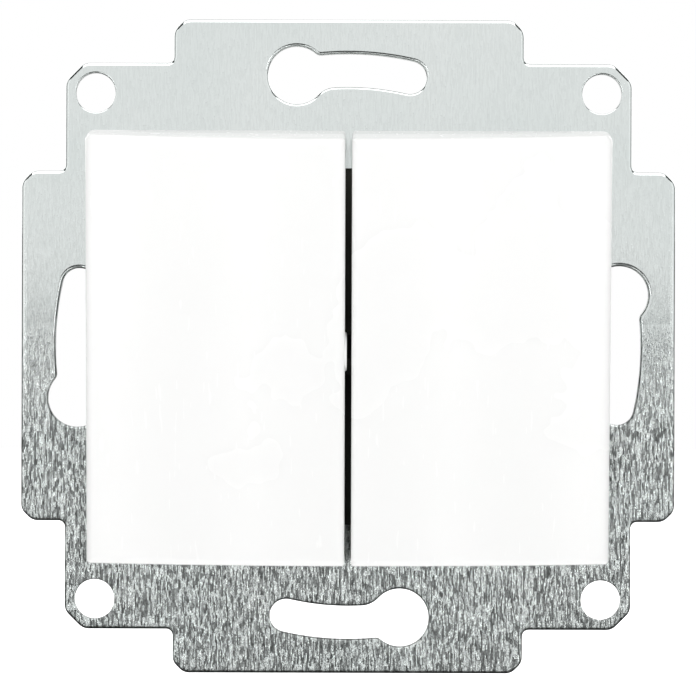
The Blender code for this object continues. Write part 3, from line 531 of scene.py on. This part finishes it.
def make_spring(word, material):
    """A coil in each see-saw's bore."""
    pivot = joint_place(f"{word}_rocker_press")
    points, faces = spring_skin(pivot[0])
    coil = make_piece(f"spring_coil_{word}", (tilted(points, pivot, TILT), faces), material,
                      f"{word}_rocker", "spring_steel", f"plunger_spring_{word}", sharp=70)
    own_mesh(coil)


# Screws


def soft_step(x, width):
    """0 below zero, 1 above the width, and straight between."""
    return np.clip(x / width, 0, 1)


def cross_recess(u, v, length, width, depth):
    """How deep a cross recess is at u, v: two crossing grooves that get shallower towards their ends."""
    a, b = np.abs(u), np.abs(v)
    edge = 0.14

    def groove(along, across):
        inside = soft_step(width / 2 + edge / 2 - across, edge) * soft_step(length / 2 - along, edge)
        return inside * (1 - 0.55 * np.clip(along / (length / 2), 0, 1))

    return depth * np.maximum(groove(a, b), groove(b, a))


def slot_recess(u, v, width, depth):
    """A straight slot right across the head."""
    return depth * soft_step(width / 2 + 0.05 - np.abs(v), 0.1)


def screw_skin(head_r, shank_r, top, seat, end, pitch, crown, recess, sides=64):
    """A screw about its own axis: rings of radius(turn, place).

    The head is a low dome less its recess. On the shank the radius is less by a rounded tooth whose
    phase is place / pitch - turn, which makes one helix, and which fades out under the head.
    """
    a = np.linspace(0, FULL, sides, endpoint=False)
    rings = []
    for r in np.linspace(0.02, head_r - 0.25, 34):
        u, v = r * np.cos(a), r * np.sin(a)
        dome = crown * (r / head_r) ** 2
        rings.append((u, v, top + dome + recess(u, v)))
    lip = top + crown
    for swing in np.linspace(math.pi / 2, 0, 5):
        r = head_r - 0.25 * (1 - math.cos(swing))
        rings.append((r * np.cos(a), r * np.sin(a), np.full(sides, lip + 0.25 * (1 - math.sin(swing)))))
    for r, place in ((head_r, seat - 0.1), (head_r - 0.1, seat), (shank_r, seat)):
        rings.append((r * np.cos(a), r * np.sin(a), np.full(sides, place)))
    for place in np.arange(seat + 0.1, end - 0.05, pitch / 9):
        tooth = 0.5 - 0.5 * np.cos(FULL * place / pitch - a)
        fade = min(1, (place - seat) / 1.2)
        taper = max(0, place - (end - 0.9)) * 0.45
        r = shank_r - THREAD_DEPTH * fade * tooth**0.7 - taper
        rings.append((r * np.cos(a), r * np.sin(a), np.full(sides, place)))
    r = shank_r * 0.45
    rings.append((r * np.cos(a), r * np.sin(a), np.full(sides, end)))
    return capped_grid(np.stack([np.stack(ring, -1) for ring in rings]))


def facing_front(skin, centre):
    """A screw's own (u, v, place) as X, Z and Y, with its head to the front."""
    points, faces = skin
    return np.stack([centre[0] + points[:, 0], points[:, 2], centre[1] + points[:, 1]], -1), faces


def make_screws(zinc, brass):
    for word in ("left", "right"):
        low, high = mm_box(f"claw_screw_{word}")
        head_r = (high[0] - low[0]) / 2
        skin = screw_skin(head_r, 1.5, low[1], low[1] + 2.0, high[1], CLAW_PITCH, 0.45,
                          lambda u, v: cross_recess(u, v, 3.3, 0.75, 1.2))
        make_piece(f"claw_screw_{word}_threaded", facing_front(skin, ((low[0] + high[0]) / 2, 0)), zinc,
                   f"{word}_claw_screw", "steel_small", f"claw_screw_{word}", sharp=55)
    for row in ("top", "bottom"):
        for column in ("left", "right"):
            low, high = mm_box(f"carrier_screw_{row}_{column}")
            centre = ((low[0] + high[0]) / 2, (low[2] + high[2]) / 2)
            skin = screw_skin(1.8, 0.95, low[1], low[1] + 1.2, high[1], CARRIER_PITCH, 0.35,
                              lambda u, v: cross_recess(u, v, 2.2, 0.5, 0.7))
            make_piece(f"carrier_screw_{row}_{column}_threaded", facing_front(skin, centre), zinc, "frame",
                       "steel_small", f"carrier_screw_{row}_{column}", sharp=55)
    for word, way in (("common", 1), ("left", -1), ("right", -1)):
        low, high = mm_box(f"terminal_screw_{word}")
        top, tip = (high[2], low[2]) if way > 0 else (low[2], high[2])
        points, faces = screw_skin(2.5, 1.6, -abs(top), -abs(top) + 1.8, -abs(tip), TERMINAL_PITCH, 0.12,
                                   lambda u, v: slot_recess(u, v, 0.8, 0.9))
        centre = ((low[0] + high[0]) / 2, (low[1] + high[1]) / 2)
        placed = np.stack([centre[0] + points[:, 0], centre[1] + points[:, 1], -way * points[:, 2]], -1)
        make_piece(f"terminal_screw_{word}_threaded", (placed, faces), brass, f"{word}_terminal_screw",
                   "brass_parts", f"terminal_screw_{word}", sharp=55)


# Material helpers


def add(tree, kind, settings=(), **inputs):
    """A node of a kind. settings are its properties, and inputs its sockets by name, as values or links."""
    made = tree.nodes.new(kind)
    for key, value in dict(settings).items():
        setattr(made, key, value)
    for key, value in inputs.items():
        connect(tree, value, made.inputs[key.replace("_", " ")])
    return made


def connect(tree, value, socket):
    if isinstance(value, bpy.types.NodeSocket):
        tree.links.new(value, socket)
    else:
        socket.default_value = value


def calc(tree, operation, a, b=0.0, clamp=False):
    made = tree.nodes.new("ShaderNodeMath")
    made.operation = operation
    made.use_clamp = clamp
    connect(tree, a, made.inputs[0])
    connect(tree, b, made.inputs[1])
    return made.outputs[0]


def spread(tree, value, low, high, to_low=0.0, to_high=1.0):
    """The value's stretch from low to high as to_low to to_high, clamped."""
    made = add(tree, "ShaderNodeMapRange", Value=value)
    for name, number in (("From Min", low), ("From Max", high), ("To Min", to_low), ("To Max", to_high)):
        made.inputs[name].default_value = number
    return made.outputs["Result"]


def noise(tree, scale, detail=2.0, rough=0.5):
    """Noise on object coordinates. scale is how many lumps a millimetre holds along X, Y and Z."""
    place = add(tree, "ShaderNodeTexCoord").outputs["Object"]
    sized = add(tree, "ShaderNodeMapping", Vector=place)
    sized.inputs["Scale"].default_value = [s / MM for s in scale]
    made = add(tree, "ShaderNodeTexNoise", Vector=sized.outputs["Vector"])
    made.inputs["Scale"].default_value = 1.0
    made.inputs["Detail"].default_value = detail
    made.inputs["Roughness"].default_value = rough
    return made.outputs["Fac"]


def shades(tree, value, *stops):
    """A colour ramp: stops are (place, colour)."""
    made = add(tree, "ShaderNodeValToRGB", Fac=value)
    ramp = made.color_ramp
    while len(ramp.elements) < len(stops):
        ramp.elements.new(0.5)
    for element, (place, colour) in zip(ramp.elements, stops):
        element.position = place
        element.color = (*colour, 1.0)
    return made.outputs["Color"]


def blend(tree, share, first, second):
    made = tree.nodes.new("ShaderNodeMix")
    made.data_type = "RGBA"
    connect(tree, share, made.inputs[0])
    connect(tree, first, made.inputs[6])
    connect(tree, second, made.inputs[7])
    return made.outputs[2]


def group_tree(name, inputs, outputs):
    """An empty node group with number inputs (name, value) and outputs (name, socket type)."""
    tree = bpy.data.node_groups.new(name, "ShaderNodeTree")
    for label, value in inputs:
        socket = tree.interface.new_socket(label, in_out="INPUT", socket_type="NodeSocketFloat")
        socket.default_value = value
    for label, kind in outputs:
        tree.interface.new_socket(label, in_out="OUTPUT", socket_type=kind)
    return tree, tree.nodes.new("NodeGroupInput"), tree.nodes.new("NodeGroupOutput")


def use_group(tree, group, **inputs):
    made = tree.nodes.new("ShaderNodeGroup")
    made.node_tree = group
    for key, value in inputs.items():
        connect(tree, value, made.inputs[key.replace("_", " ")])
    return made.outputs


def new_material(name, metallic, **constants):
    """A Principled material. Its constant values sit on the shader's own sockets."""
    material = bpy.data.materials.new(name)
    material.use_nodes = True
    tree = material.node_tree
    shader = tree.nodes["Principled BSDF"]
    shader.inputs["Metallic"].default_value = metallic
    for key, value in constants.items():
        shader.inputs[key.replace("_", " ")].default_value = value
    return material, tree, shader


# Shared effects


def rolled_grain_group():
    """Upright rolling lines of two sizes, with short breaks. Height is for a bump, Streaks for tone."""
    outputs = [("Height", "NodeSocketFloat"), ("Streaks", "NodeSocketFloat")]
    tree, _, result = group_tree("rolled_grain", [], outputs)
    broad = noise(tree, (10.0, 10.0, 0.75), 1.0, 0.5)
    fine = noise(tree, (14.0, 14.0, 3.6), 1.0, 0.5)
    pits = noise(tree, (5.5, 5.5, 3.6), 1.0, 0.5)
    lines = calc(tree, "ADD", calc(tree, "MULTIPLY", broad, 0.62), calc(tree, "MULTIPLY", fine, 0.38))
    height = calc(tree, "ADD", lines, calc(tree, "MULTIPLY", pits, 0.10))
    tree.links.new(height, result.inputs["Height"])
    tree.links.new(spread(tree, lines, 0.475, 0.52), result.inputs["Streaks"])
    return tree


def handling_group():
    """Where hands and tools have been: faint clouds and a few thin slanting scratches, both as masks."""
    tree, given, result = group_tree("handling", [("Cloud Size", 1.0)],
                                     [("Clouds", "NodeSocketFloat"), ("Scratches", "NodeSocketFloat")])
    place = add(tree, "ShaderNodeTexCoord").outputs["Object"]
    sized = add(tree, "ShaderNodeMapping", Vector=place)
    sized.inputs["Scale"].default_value = [90.0, 90.0, 90.0]
    cloud = add(tree, "ShaderNodeTexNoise", Vector=sized.outputs["Vector"], Scale=given.outputs["Cloud Size"])
    cloud.inputs["Detail"].default_value = 4.0
    tree.links.new(spread(tree, cloud.outputs["Fac"], 0.3, 0.7), result.inputs["Clouds"])
    slanted = add(tree, "ShaderNodeMapping", Vector=place)
    slanted.inputs["Rotation"].default_value = [0.2, 0.75, 0.1]
    slanted.inputs["Scale"].default_value = [2600.0, 2600.0, 130.0]
    lines = add(tree, "ShaderNodeTexNoise", Vector=slanted.outputs["Vector"])
    lines.inputs["Scale"].default_value = 1.0
    lines.inputs["Detail"].default_value = 1.0
    tree.links.new(spread(tree, lines.outputs["Fac"], 0.70, 0.78), result.inputs["Scratches"])
    return tree


def moulding_group():
    """A moulded surface: fine spark texture as Height, and soft flow marks as Flow."""
    tree, given, result = group_tree("moulding", [("Fineness", 1.0)],
                                     [("Height", "NodeSocketFloat"), ("Flow", "NodeSocketFloat")])
    place = add(tree, "ShaderNodeTexCoord").outputs["Object"]
    sized = add(tree, "ShaderNodeMapping", Vector=place)
    sized.inputs["Scale"].default_value = [4000.0, 4000.0, 4000.0]
    grain = add(tree, "ShaderNodeTexNoise", Vector=sized.outputs["Vector"], Scale=given.outputs["Fineness"])
    grain.inputs["Detail"].default_value = 3.0
    tree.links.new(grain.outputs["Fac"], result.inputs["Height"])
    tree.links.new(spread(tree, noise(tree, (0.09, 0.09, 0.05), 3.0, 0.6), 0.3, 0.7), result.inputs["Flow"])
    return tree


def bump(tree, height, depth_mm, strength=1.0):
    made = add(tree, "ShaderNodeBump", Height=height)
    made.inputs["Strength"].default_value = strength
    made.inputs["Distance"].default_value = depth_mm * MM
    return made.outputs["Normal"]


# Materials


def hairlines(tree, x, z):
    """Short upright lines side by side: a random value for each stretch of each narrow column, with
    stretches of another length and start in every column."""
    column = calc(tree, "FLOOR", calc(tree, "MULTIPLY", x, HAIRLINES_PER_MM / MM))
    own = add(tree, "ShaderNodeTexWhiteNoise", {"noise_dimensions": "1D"}, W=column).outputs["Value"]
    length = spread(tree, own, 0, 1, 0.7 / MM, 2.2 / MM)
    along = calc(tree, "ADD", calc(tree, "MULTIPLY", z, length), calc(tree, "MULTIPLY", own, 97.0))
    place = add(tree, "ShaderNodeCombineXYZ", X=column, Y=calc(tree, "FLOOR", along))
    hair = add(tree, "ShaderNodeTexWhiteNoise", {"noise_dimensions": "2D"}, Vector=place.outputs[0])
    return hair.outputs["Value"]


def rolled_zinc(grain, handling):
    """Bright zinc on cold-rolled steel sheet: upright rolling lines, coarser on the lower half, and a
    faint blue-green cast. Near-black streaks darken the lower half's colour as painted shade."""
    material, tree, shader = new_material("rolled_zinc", 1.0)
    lines = use_group(tree, grain)
    marks = use_group(tree, handling, Cloud_Size=0.8)
    place = add(tree, "ShaderNodeTexCoord").outputs["Object"]
    split = add(tree, "ShaderNodeSeparateXYZ", Vector=place).outputs
    # Height mask for the lower half: it roughens and bumps the grain there, and paints shade into the colour.
    lower_grain_and_painted_shade = spread(tree, split["Z"], 0.0025, -0.009, 0.06, 1.0)
    hair = hairlines(tree, split["X"], split["Z"])
    streaks = calc(tree, "ADD", calc(tree, "MULTIPLY", spread(tree, hair, 0.25, 0.65), 0.7),
                   calc(tree, "MULTIPLY", lines["Streaks"], 0.3))
    tone = shades(tree, marks["Clouds"], (0.0, (0.70, 0.745, 0.735)), (1.0, (0.75, 0.785, 0.775)))
    # Painted shade: near-black along the real grain lines, strong on the lower half and faint above.
    grain_lines_and_painted_shade = calc(tree, "MULTIPLY", calc(tree, "SUBTRACT", 1.0, streaks), lower_grain_and_painted_shade)
    streaked_with_painted_shade = blend(tree, calc(tree, "MULTIPLY", grain_lines_and_painted_shade, 0.95), tone, (0.06, 0.065, 0.063, 1.0))
    connect(tree, blend(tree, calc(tree, "MULTIPLY", marks["Scratches"], 0.12), streaked_with_painted_shade,
                        (0.50, 0.52, 0.52, 1.0)), shader.inputs["Base Color"])
    rough = calc(tree, "ADD", spread(tree, lines["Streaks"], 0, 1, 0.04, 0.0),
                 calc(tree, "MULTIPLY", marks["Clouds"], 0.03))
    lower_rough = spread(tree, lower_grain_and_painted_shade, 0, 1, 0.045, 0.085)
    connect(tree, calc(tree, "ADD", rough, lower_rough), shader.inputs["Roughness"])
    uneven = calc(tree, "ADD", lines["Height"], calc(tree, "MULTIPLY", hair, 0.3))
    connect(tree, bump(tree, calc(tree, "MULTIPLY", uneven, lower_grain_and_painted_shade), 0.055), shader.inputs["Normal"])
    return material


def cap_white(moulding, handling):
    """Bright white half-gloss thermoplastic, almost smooth, with faint rub marks."""
    material, tree, shader = new_material("cap_white", 0.0, Coat_Roughness=0.12, Specular_IOR_Level=0.45)
    skin = use_group(tree, moulding, Fineness=1.3)
    marks = use_group(tree, handling, Cloud_Size=0.5)
    tone = shades(tree, skin["Flow"], (0.0, (0.893, 0.895, 0.887)), (1.0, (0.902, 0.902, 0.896)))
    connect(tree, blend(tree, calc(tree, "MULTIPLY", marks["Scratches"], 0.04), tone, (0.8, 0.8, 0.79, 1.0)),
            shader.inputs["Base Color"])
    connect(tree, calc(tree, "ADD", spread(tree, marks["Clouds"], 0, 1, 0.22, 0.30),
                       calc(tree, "MULTIPLY", marks["Scratches"], 0.12)), shader.inputs["Roughness"])
    connect(tree, spread(tree, marks["Clouds"], 0, 1, 0.10, 0.18), shader.inputs["Coat Weight"])
    connect(tree, bump(tree, skin["Height"], 0.0012), shader.inputs["Normal"])
    return material


def moulded_plastic(name, dark, light, worn, roughness, moulding, handling, grain_mm, fineness=0.8):
    """A matt moulding: flow marks between two tones, paler where it is rubbed, with a spark texture."""
    material, tree, shader = new_material(name, 0.0, Specular_IOR_Level=0.4)
    skin = use_group(tree, moulding, Fineness=fineness)
    marks = use_group(tree, handling, Cloud_Size=0.9)
    tone = shades(tree, skin["Flow"], (0.0, dark), (1.0, light))
    speck = spread(tree, noise(tree, (3.0, 3.0, 3.0), 2.0, 0.6), 0.62, 0.75, 0.0, 0.25)
    wear = calc(tree, "ADD", calc(tree, "MULTIPLY", marks["Scratches"], 0.3), speck, True)
    connect(tree, blend(tree, wear, tone, (*worn, 1.0)), shader.inputs["Base Color"])
    connect(tree, spread(tree, marks["Clouds"], 0, 1, roughness - 0.07, roughness + 0.07),
            shader.inputs["Roughness"])
    connect(tree, bump(tree, skin["Height"], grain_mm), shader.inputs["Normal"])
    return material


def worked_metal(name, dark, light, stain, roughness, grain, handling, depth_mm):
    """Stamped or turned metal: rolling lines, clouds between two tones and a stain in the scratches."""
    material, tree, shader = new_material(name, 1.0)
    lines = use_group(tree, grain)
    marks = use_group(tree, handling, Cloud_Size=2.2)
    tone = shades(tree, marks["Clouds"], (0.0, dark), (1.0, light))
    connect(tree, blend(tree, calc(tree, "MULTIPLY", marks["Scratches"], 0.4), tone, (*stain, 1.0)),
            shader.inputs["Base Color"])
    uneven = calc(tree, "ADD", spread(tree, lines["Streaks"], 0, 1, -0.05, 0.05),
                  spread(tree, marks["Clouds"], 0, 1, roughness - 0.05, roughness + 0.05))
    connect(tree, uneven, shader.inputs["Roughness"])
    connect(tree, bump(tree, lines["Height"], depth_mm), shader.inputs["Normal"])
    return material


def make_materials():
    grain, handling, moulding = rolled_grain_group(), handling_group(), moulding_group()

    def metal(name, dark, light, stain, roughness, depth_mm=0.006):
        return worked_metal(name, dark, light, stain, roughness, grain, handling, depth_mm)

    def plastic(name, dark, light, worn, roughness, grain_mm):
        return moulded_plastic(name, dark, light, worn, roughness, moulding, handling, grain_mm)

    return {
        "zinc_steel_plate": rolled_zinc(grain, handling),
        "white_caps": cap_white(moulding, handling),
        "dark_carrier": plastic("carrier_black", (0.016, 0.016, 0.010), (0.028, 0.027, 0.019),
                                (0.06, 0.06, 0.05), 0.5, 0.006),
        "grey_mouldings": plastic("base_grey", (0.56, 0.565, 0.55), (0.66, 0.66, 0.64),
                                  (0.78, 0.78, 0.76), 0.5, 0.006),
        "plungers": plastic("natural_nylon", (0.78, 0.74, 0.63), (0.84, 0.81, 0.72),
                            (0.9, 0.88, 0.8), 0.4, 0.003),
        "steel_small": metal("screw_zinc", (0.62, 0.64, 0.64), (0.74, 0.755, 0.745), (0.4, 0.4, 0.38), 0.28),
        "spring_steel": metal("spring_wire", (0.36, 0.36, 0.35), (0.48, 0.48, 0.46), (0.2, 0.19, 0.17), 0.36),
        "brass_parts": metal("terminal_brass", (0.72, 0.54, 0.25), (0.82, 0.66, 0.36),
                             (0.4, 0.28, 0.13), 0.27),
        "copper_arms": metal("arm_copper", (0.75, 0.40, 0.27), (0.86, 0.53, 0.38), (0.4, 0.2, 0.13), 0.3),
        "silver_contacts": metal("contact_silver", (0.80, 0.80, 0.79), (0.90, 0.90, 0.88),
                                 (0.5, 0.49, 0.46), 0.24, 0.003),
    }


def dress_nodes(materials):
    """Every node that still shows gets the finish of its own material slot."""
    slots = {part["node"]: part["material_slot"] for part in frame["record"]["subparts"]}
    for name, node in frame["nodes"].items():
        node.data.materials.clear()
        node.data.materials.append(materials[slots[name]])


# Mouldings and stampings


def make_mouldings(materials):
    softened("base_housing", 0.22, materials["grey_mouldings"], "frame")
    softened("front_carrier", 0.12, materials["dark_carrier"], "frame")
    softened("common_strip", 0.06, materials["brass_parts"], "frame")
    for word in ("left", "right"):
        softened(f"seesaw_{word}", 0.12, materials["grey_mouldings"], f"{word}_rocker")
        softened(f"claw_{word}", 0.1, materials["steel_small"], f"{word}_claw")
        softened(f"output_strip_{word}", 0.06, materials["brass_parts"], "frame")
        softened(f"contact_arm_{word}", 0.06, materials["copper_arms"], f"{word}_contact_arm")
    for word in ("common", "left", "right"):
        softened(f"clamp_cage_{word}", 0.1, materials["steel_small"], f"{word}_clamp_cage")


# Studio


def add_card(name, size, place, aim, brightness, glossy=True, matt=True):
    """A soft rectangular light of an even brightness, for glossy surfaces, matt ones or both."""
    light = bpy.data.lights.new(name, "AREA")
    light.shape = "RECTANGLE"
    light.size, light.size_y = size
    light.energy = brightness * math.pi * size[0] * size[1]
    card = bpy.data.objects.new(name, light)
    bpy.context.scene.collection.objects.link(card)
    card.location = place
    card.rotation_euler = (Vector(aim) - Vector(place)).to_track_quat("-Z", "Y").to_euler()
    card.visible_glossy = glossy
    card.visible_diffuse = matt
    card.visible_camera = False
    return card


def make_floor():
    """A wide pale floor below the piece with a painted glow: it emits light of its own, dim near the piece and
    brighter further out.
    """
    mesh = bpy.data.meshes.new("studio_floor")
    a = np.linspace(0, FULL, 96, endpoint=False)
    rings = [np.stack([r * np.cos(a), r * np.sin(a), np.full(96, -0.075)], -1) for r in (0.02, 0.4, 1.2, 2.6)]
    points = np.concatenate(rings + [[[0, 0, -0.075]]])
    faces = grid_faces(4, 96) + fan(4 * 96, list(range(96)))
    mesh.from_pydata(points.tolist(), [], faces)
    floor = bpy.data.objects.new("studio_floor", mesh)
    bpy.context.scene.collection.objects.link(floor)
    material, tree, shader = new_material("floor_paper_with_painted_glow", 0.0, Roughness=0.9)
    shader.inputs["Base Color"].default_value = (0.93, 0.93, 0.93, 1)
    place = add(tree, "ShaderNodeTexCoord").outputs["Object"]
    away = add(tree, "ShaderNodeVectorMath", {"operation": "LENGTH"}, Vector=place).outputs["Value"]
    # Painted light: the floor's own emission, weak near the piece so its shadow shows, strong further out.
    near_glow = spread(tree, away, 0.12, 0.30, 0.2, 0.72)
    glow = calc(tree, "ADD", near_glow, spread(tree, away, 0.5, 1.1, 0.0, 0.28))
    shader.inputs["Emission Strength"].default_value = 1.0
    painted_floor_glow = shades(tree, glow, (0.0, (0.0, 0.0, 0.0)), (1.0, (1.0, 1.0, 1.0)))
    connect(tree, painted_floor_glow, shader.inputs["Emission Color"])
    mesh.materials.append(material)
    floor.visible_glossy = False


def make_world():
    """White to the camera, a pale grey to matt surfaces and nearly dark to glossy ones, so that polished
    metal shows the cards with dark between them."""
    world = bpy.data.worlds.new("studio_air")
    bpy.context.scene.world = world
    world.use_nodes = True
    tree = world.node_tree
    tree.nodes.clear()
    ray = add(tree, "ShaderNodeLightPath").outputs
    air = add(tree, "ShaderNodeBackground", Color=(0.12, 0.12, 0.12, 1.0))
    dark = add(tree, "ShaderNodeBackground", Color=(0.05, 0.052, 0.05, 1.0))
    backdrop = add(tree, "ShaderNodeBackground", Color=(1.0, 1.0, 1.0, 1.0))
    lit = tree.nodes.new("ShaderNodeMixShader")
    tree.links.new(ray["Is Glossy Ray"], lit.inputs[0])
    tree.links.new(air.outputs[0], lit.inputs[1])
    tree.links.new(dark.outputs[0], lit.inputs[2])
    seen = tree.nodes.new("ShaderNodeMixShader")
    tree.links.new(ray["Is Camera Ray"], seen.inputs[0])
    tree.links.new(lit.outputs[0], seen.inputs[1])
    tree.links.new(backdrop.outputs[0], seen.inputs[2])
    out = tree.nodes.new("ShaderNodeOutputWorld")
    tree.links.new(seen.outputs[0], out.inputs["Surface"])


# The bright strips in front: their place across and out, in metres, and their two heights
STRIP_NEAR = (0.27, -1.15)
STRIP_FAR = (0.62, -1.0)
BAND_Z = -0.07
LOW_Z = -0.5


def make_studio():
    """Cards round the switch: a sky in front, bright strips beside dark ones, and lights behind."""
    make_world()
    make_floor()
    add_card("sky_card", (2.4, 1.2), (0, -1.2, 0.603), (0, 0, 0.603), 0.93, matt=False)
    for side in (-1, 1):
        near, far = (side * STRIP_NEAR[0], STRIP_NEAR[1]), (side * STRIP_FAR[0], STRIP_FAR[1])
        add_card(f"near_strip_{side}", (0.13, 0.13), (*near, BAND_Z), (0, -0.2, BAND_Z), 3.4, matt=False)
        add_card(f"mid_strip_{side}", (0.22, 0.13), (*far, BAND_Z), (0, 0, BAND_Z), 3.4, matt=False)
        add_card(f"low_strip_{side}", (0.08, 0.7), (*near, LOW_Z), (0, -0.2, LOW_Z), 2.7, matt=False)
        add_card(f"far_strip_{side}", (0.12, 0.7), (*far, LOW_Z), (0, 0, LOW_Z), 2.7, matt=False)
        add_card(f"wing_card_{side}", (0.8, 1.2), (side * 1.0, -0.5, 0.1), (0, 0, 0), 1.0, matt=False)
        add_card(f"rear_card_{side}", (0.9, 0.9), (side * 0.9, 1.1, 0.5), (0, 0, 0), 1.6)
    add_card("top_card", (1.8, 1.6), (0, -0.4, 1.25), (0, -0.1, 0), 2.4)
    add_card("under_card", (0.8, 0.22), (0, -0.14, -0.07), (0, -0.14, 1), 0.2)
    add_card("front_fill", (1.3, 1.3), (0, -1.1, 0.3), (0, 0, 0), 0.15, glossy=False)
    add_card("rear_sky", (2.4, 1.6), (0, 1.3, 0.35), (0, 0, 0), 0.7)


def make_camera():
    """Square on to the plate from 0.45 m, on a long lens, a little below its middle."""
    data = bpy.data.cameras.new("front_camera")
    data.sensor_width = 36.0
    data.lens = 213.7
    data.clip_start, data.clip_end = 0.01, 20
    camera = bpy.data.objects.new("front_camera", data)
    bpy.context.scene.collection.objects.link(camera)
    camera.location = (-0.00002, -0.45, -0.00016)
    camera.rotation_euler = (math.pi / 2, math.radians(-0.18), 0)
    bpy.context.scene.camera = camera


def build():
    materials = make_materials()
    dress_nodes(materials)
    make_support_plate(materials["zinc_steel_plate"])
    for word, side in (("left", -1), ("right", 1)):
        make_rocker(word, side, materials["white_caps"])
        make_spring(word, materials["spring_steel"])
    make_screws(materials["steel_small"], materials["brass_parts"])
    make_mouldings(materials)
    make_studio()
    make_camera()
    bpy.context.scene.view_settings.view_transform = "Standard"


build()
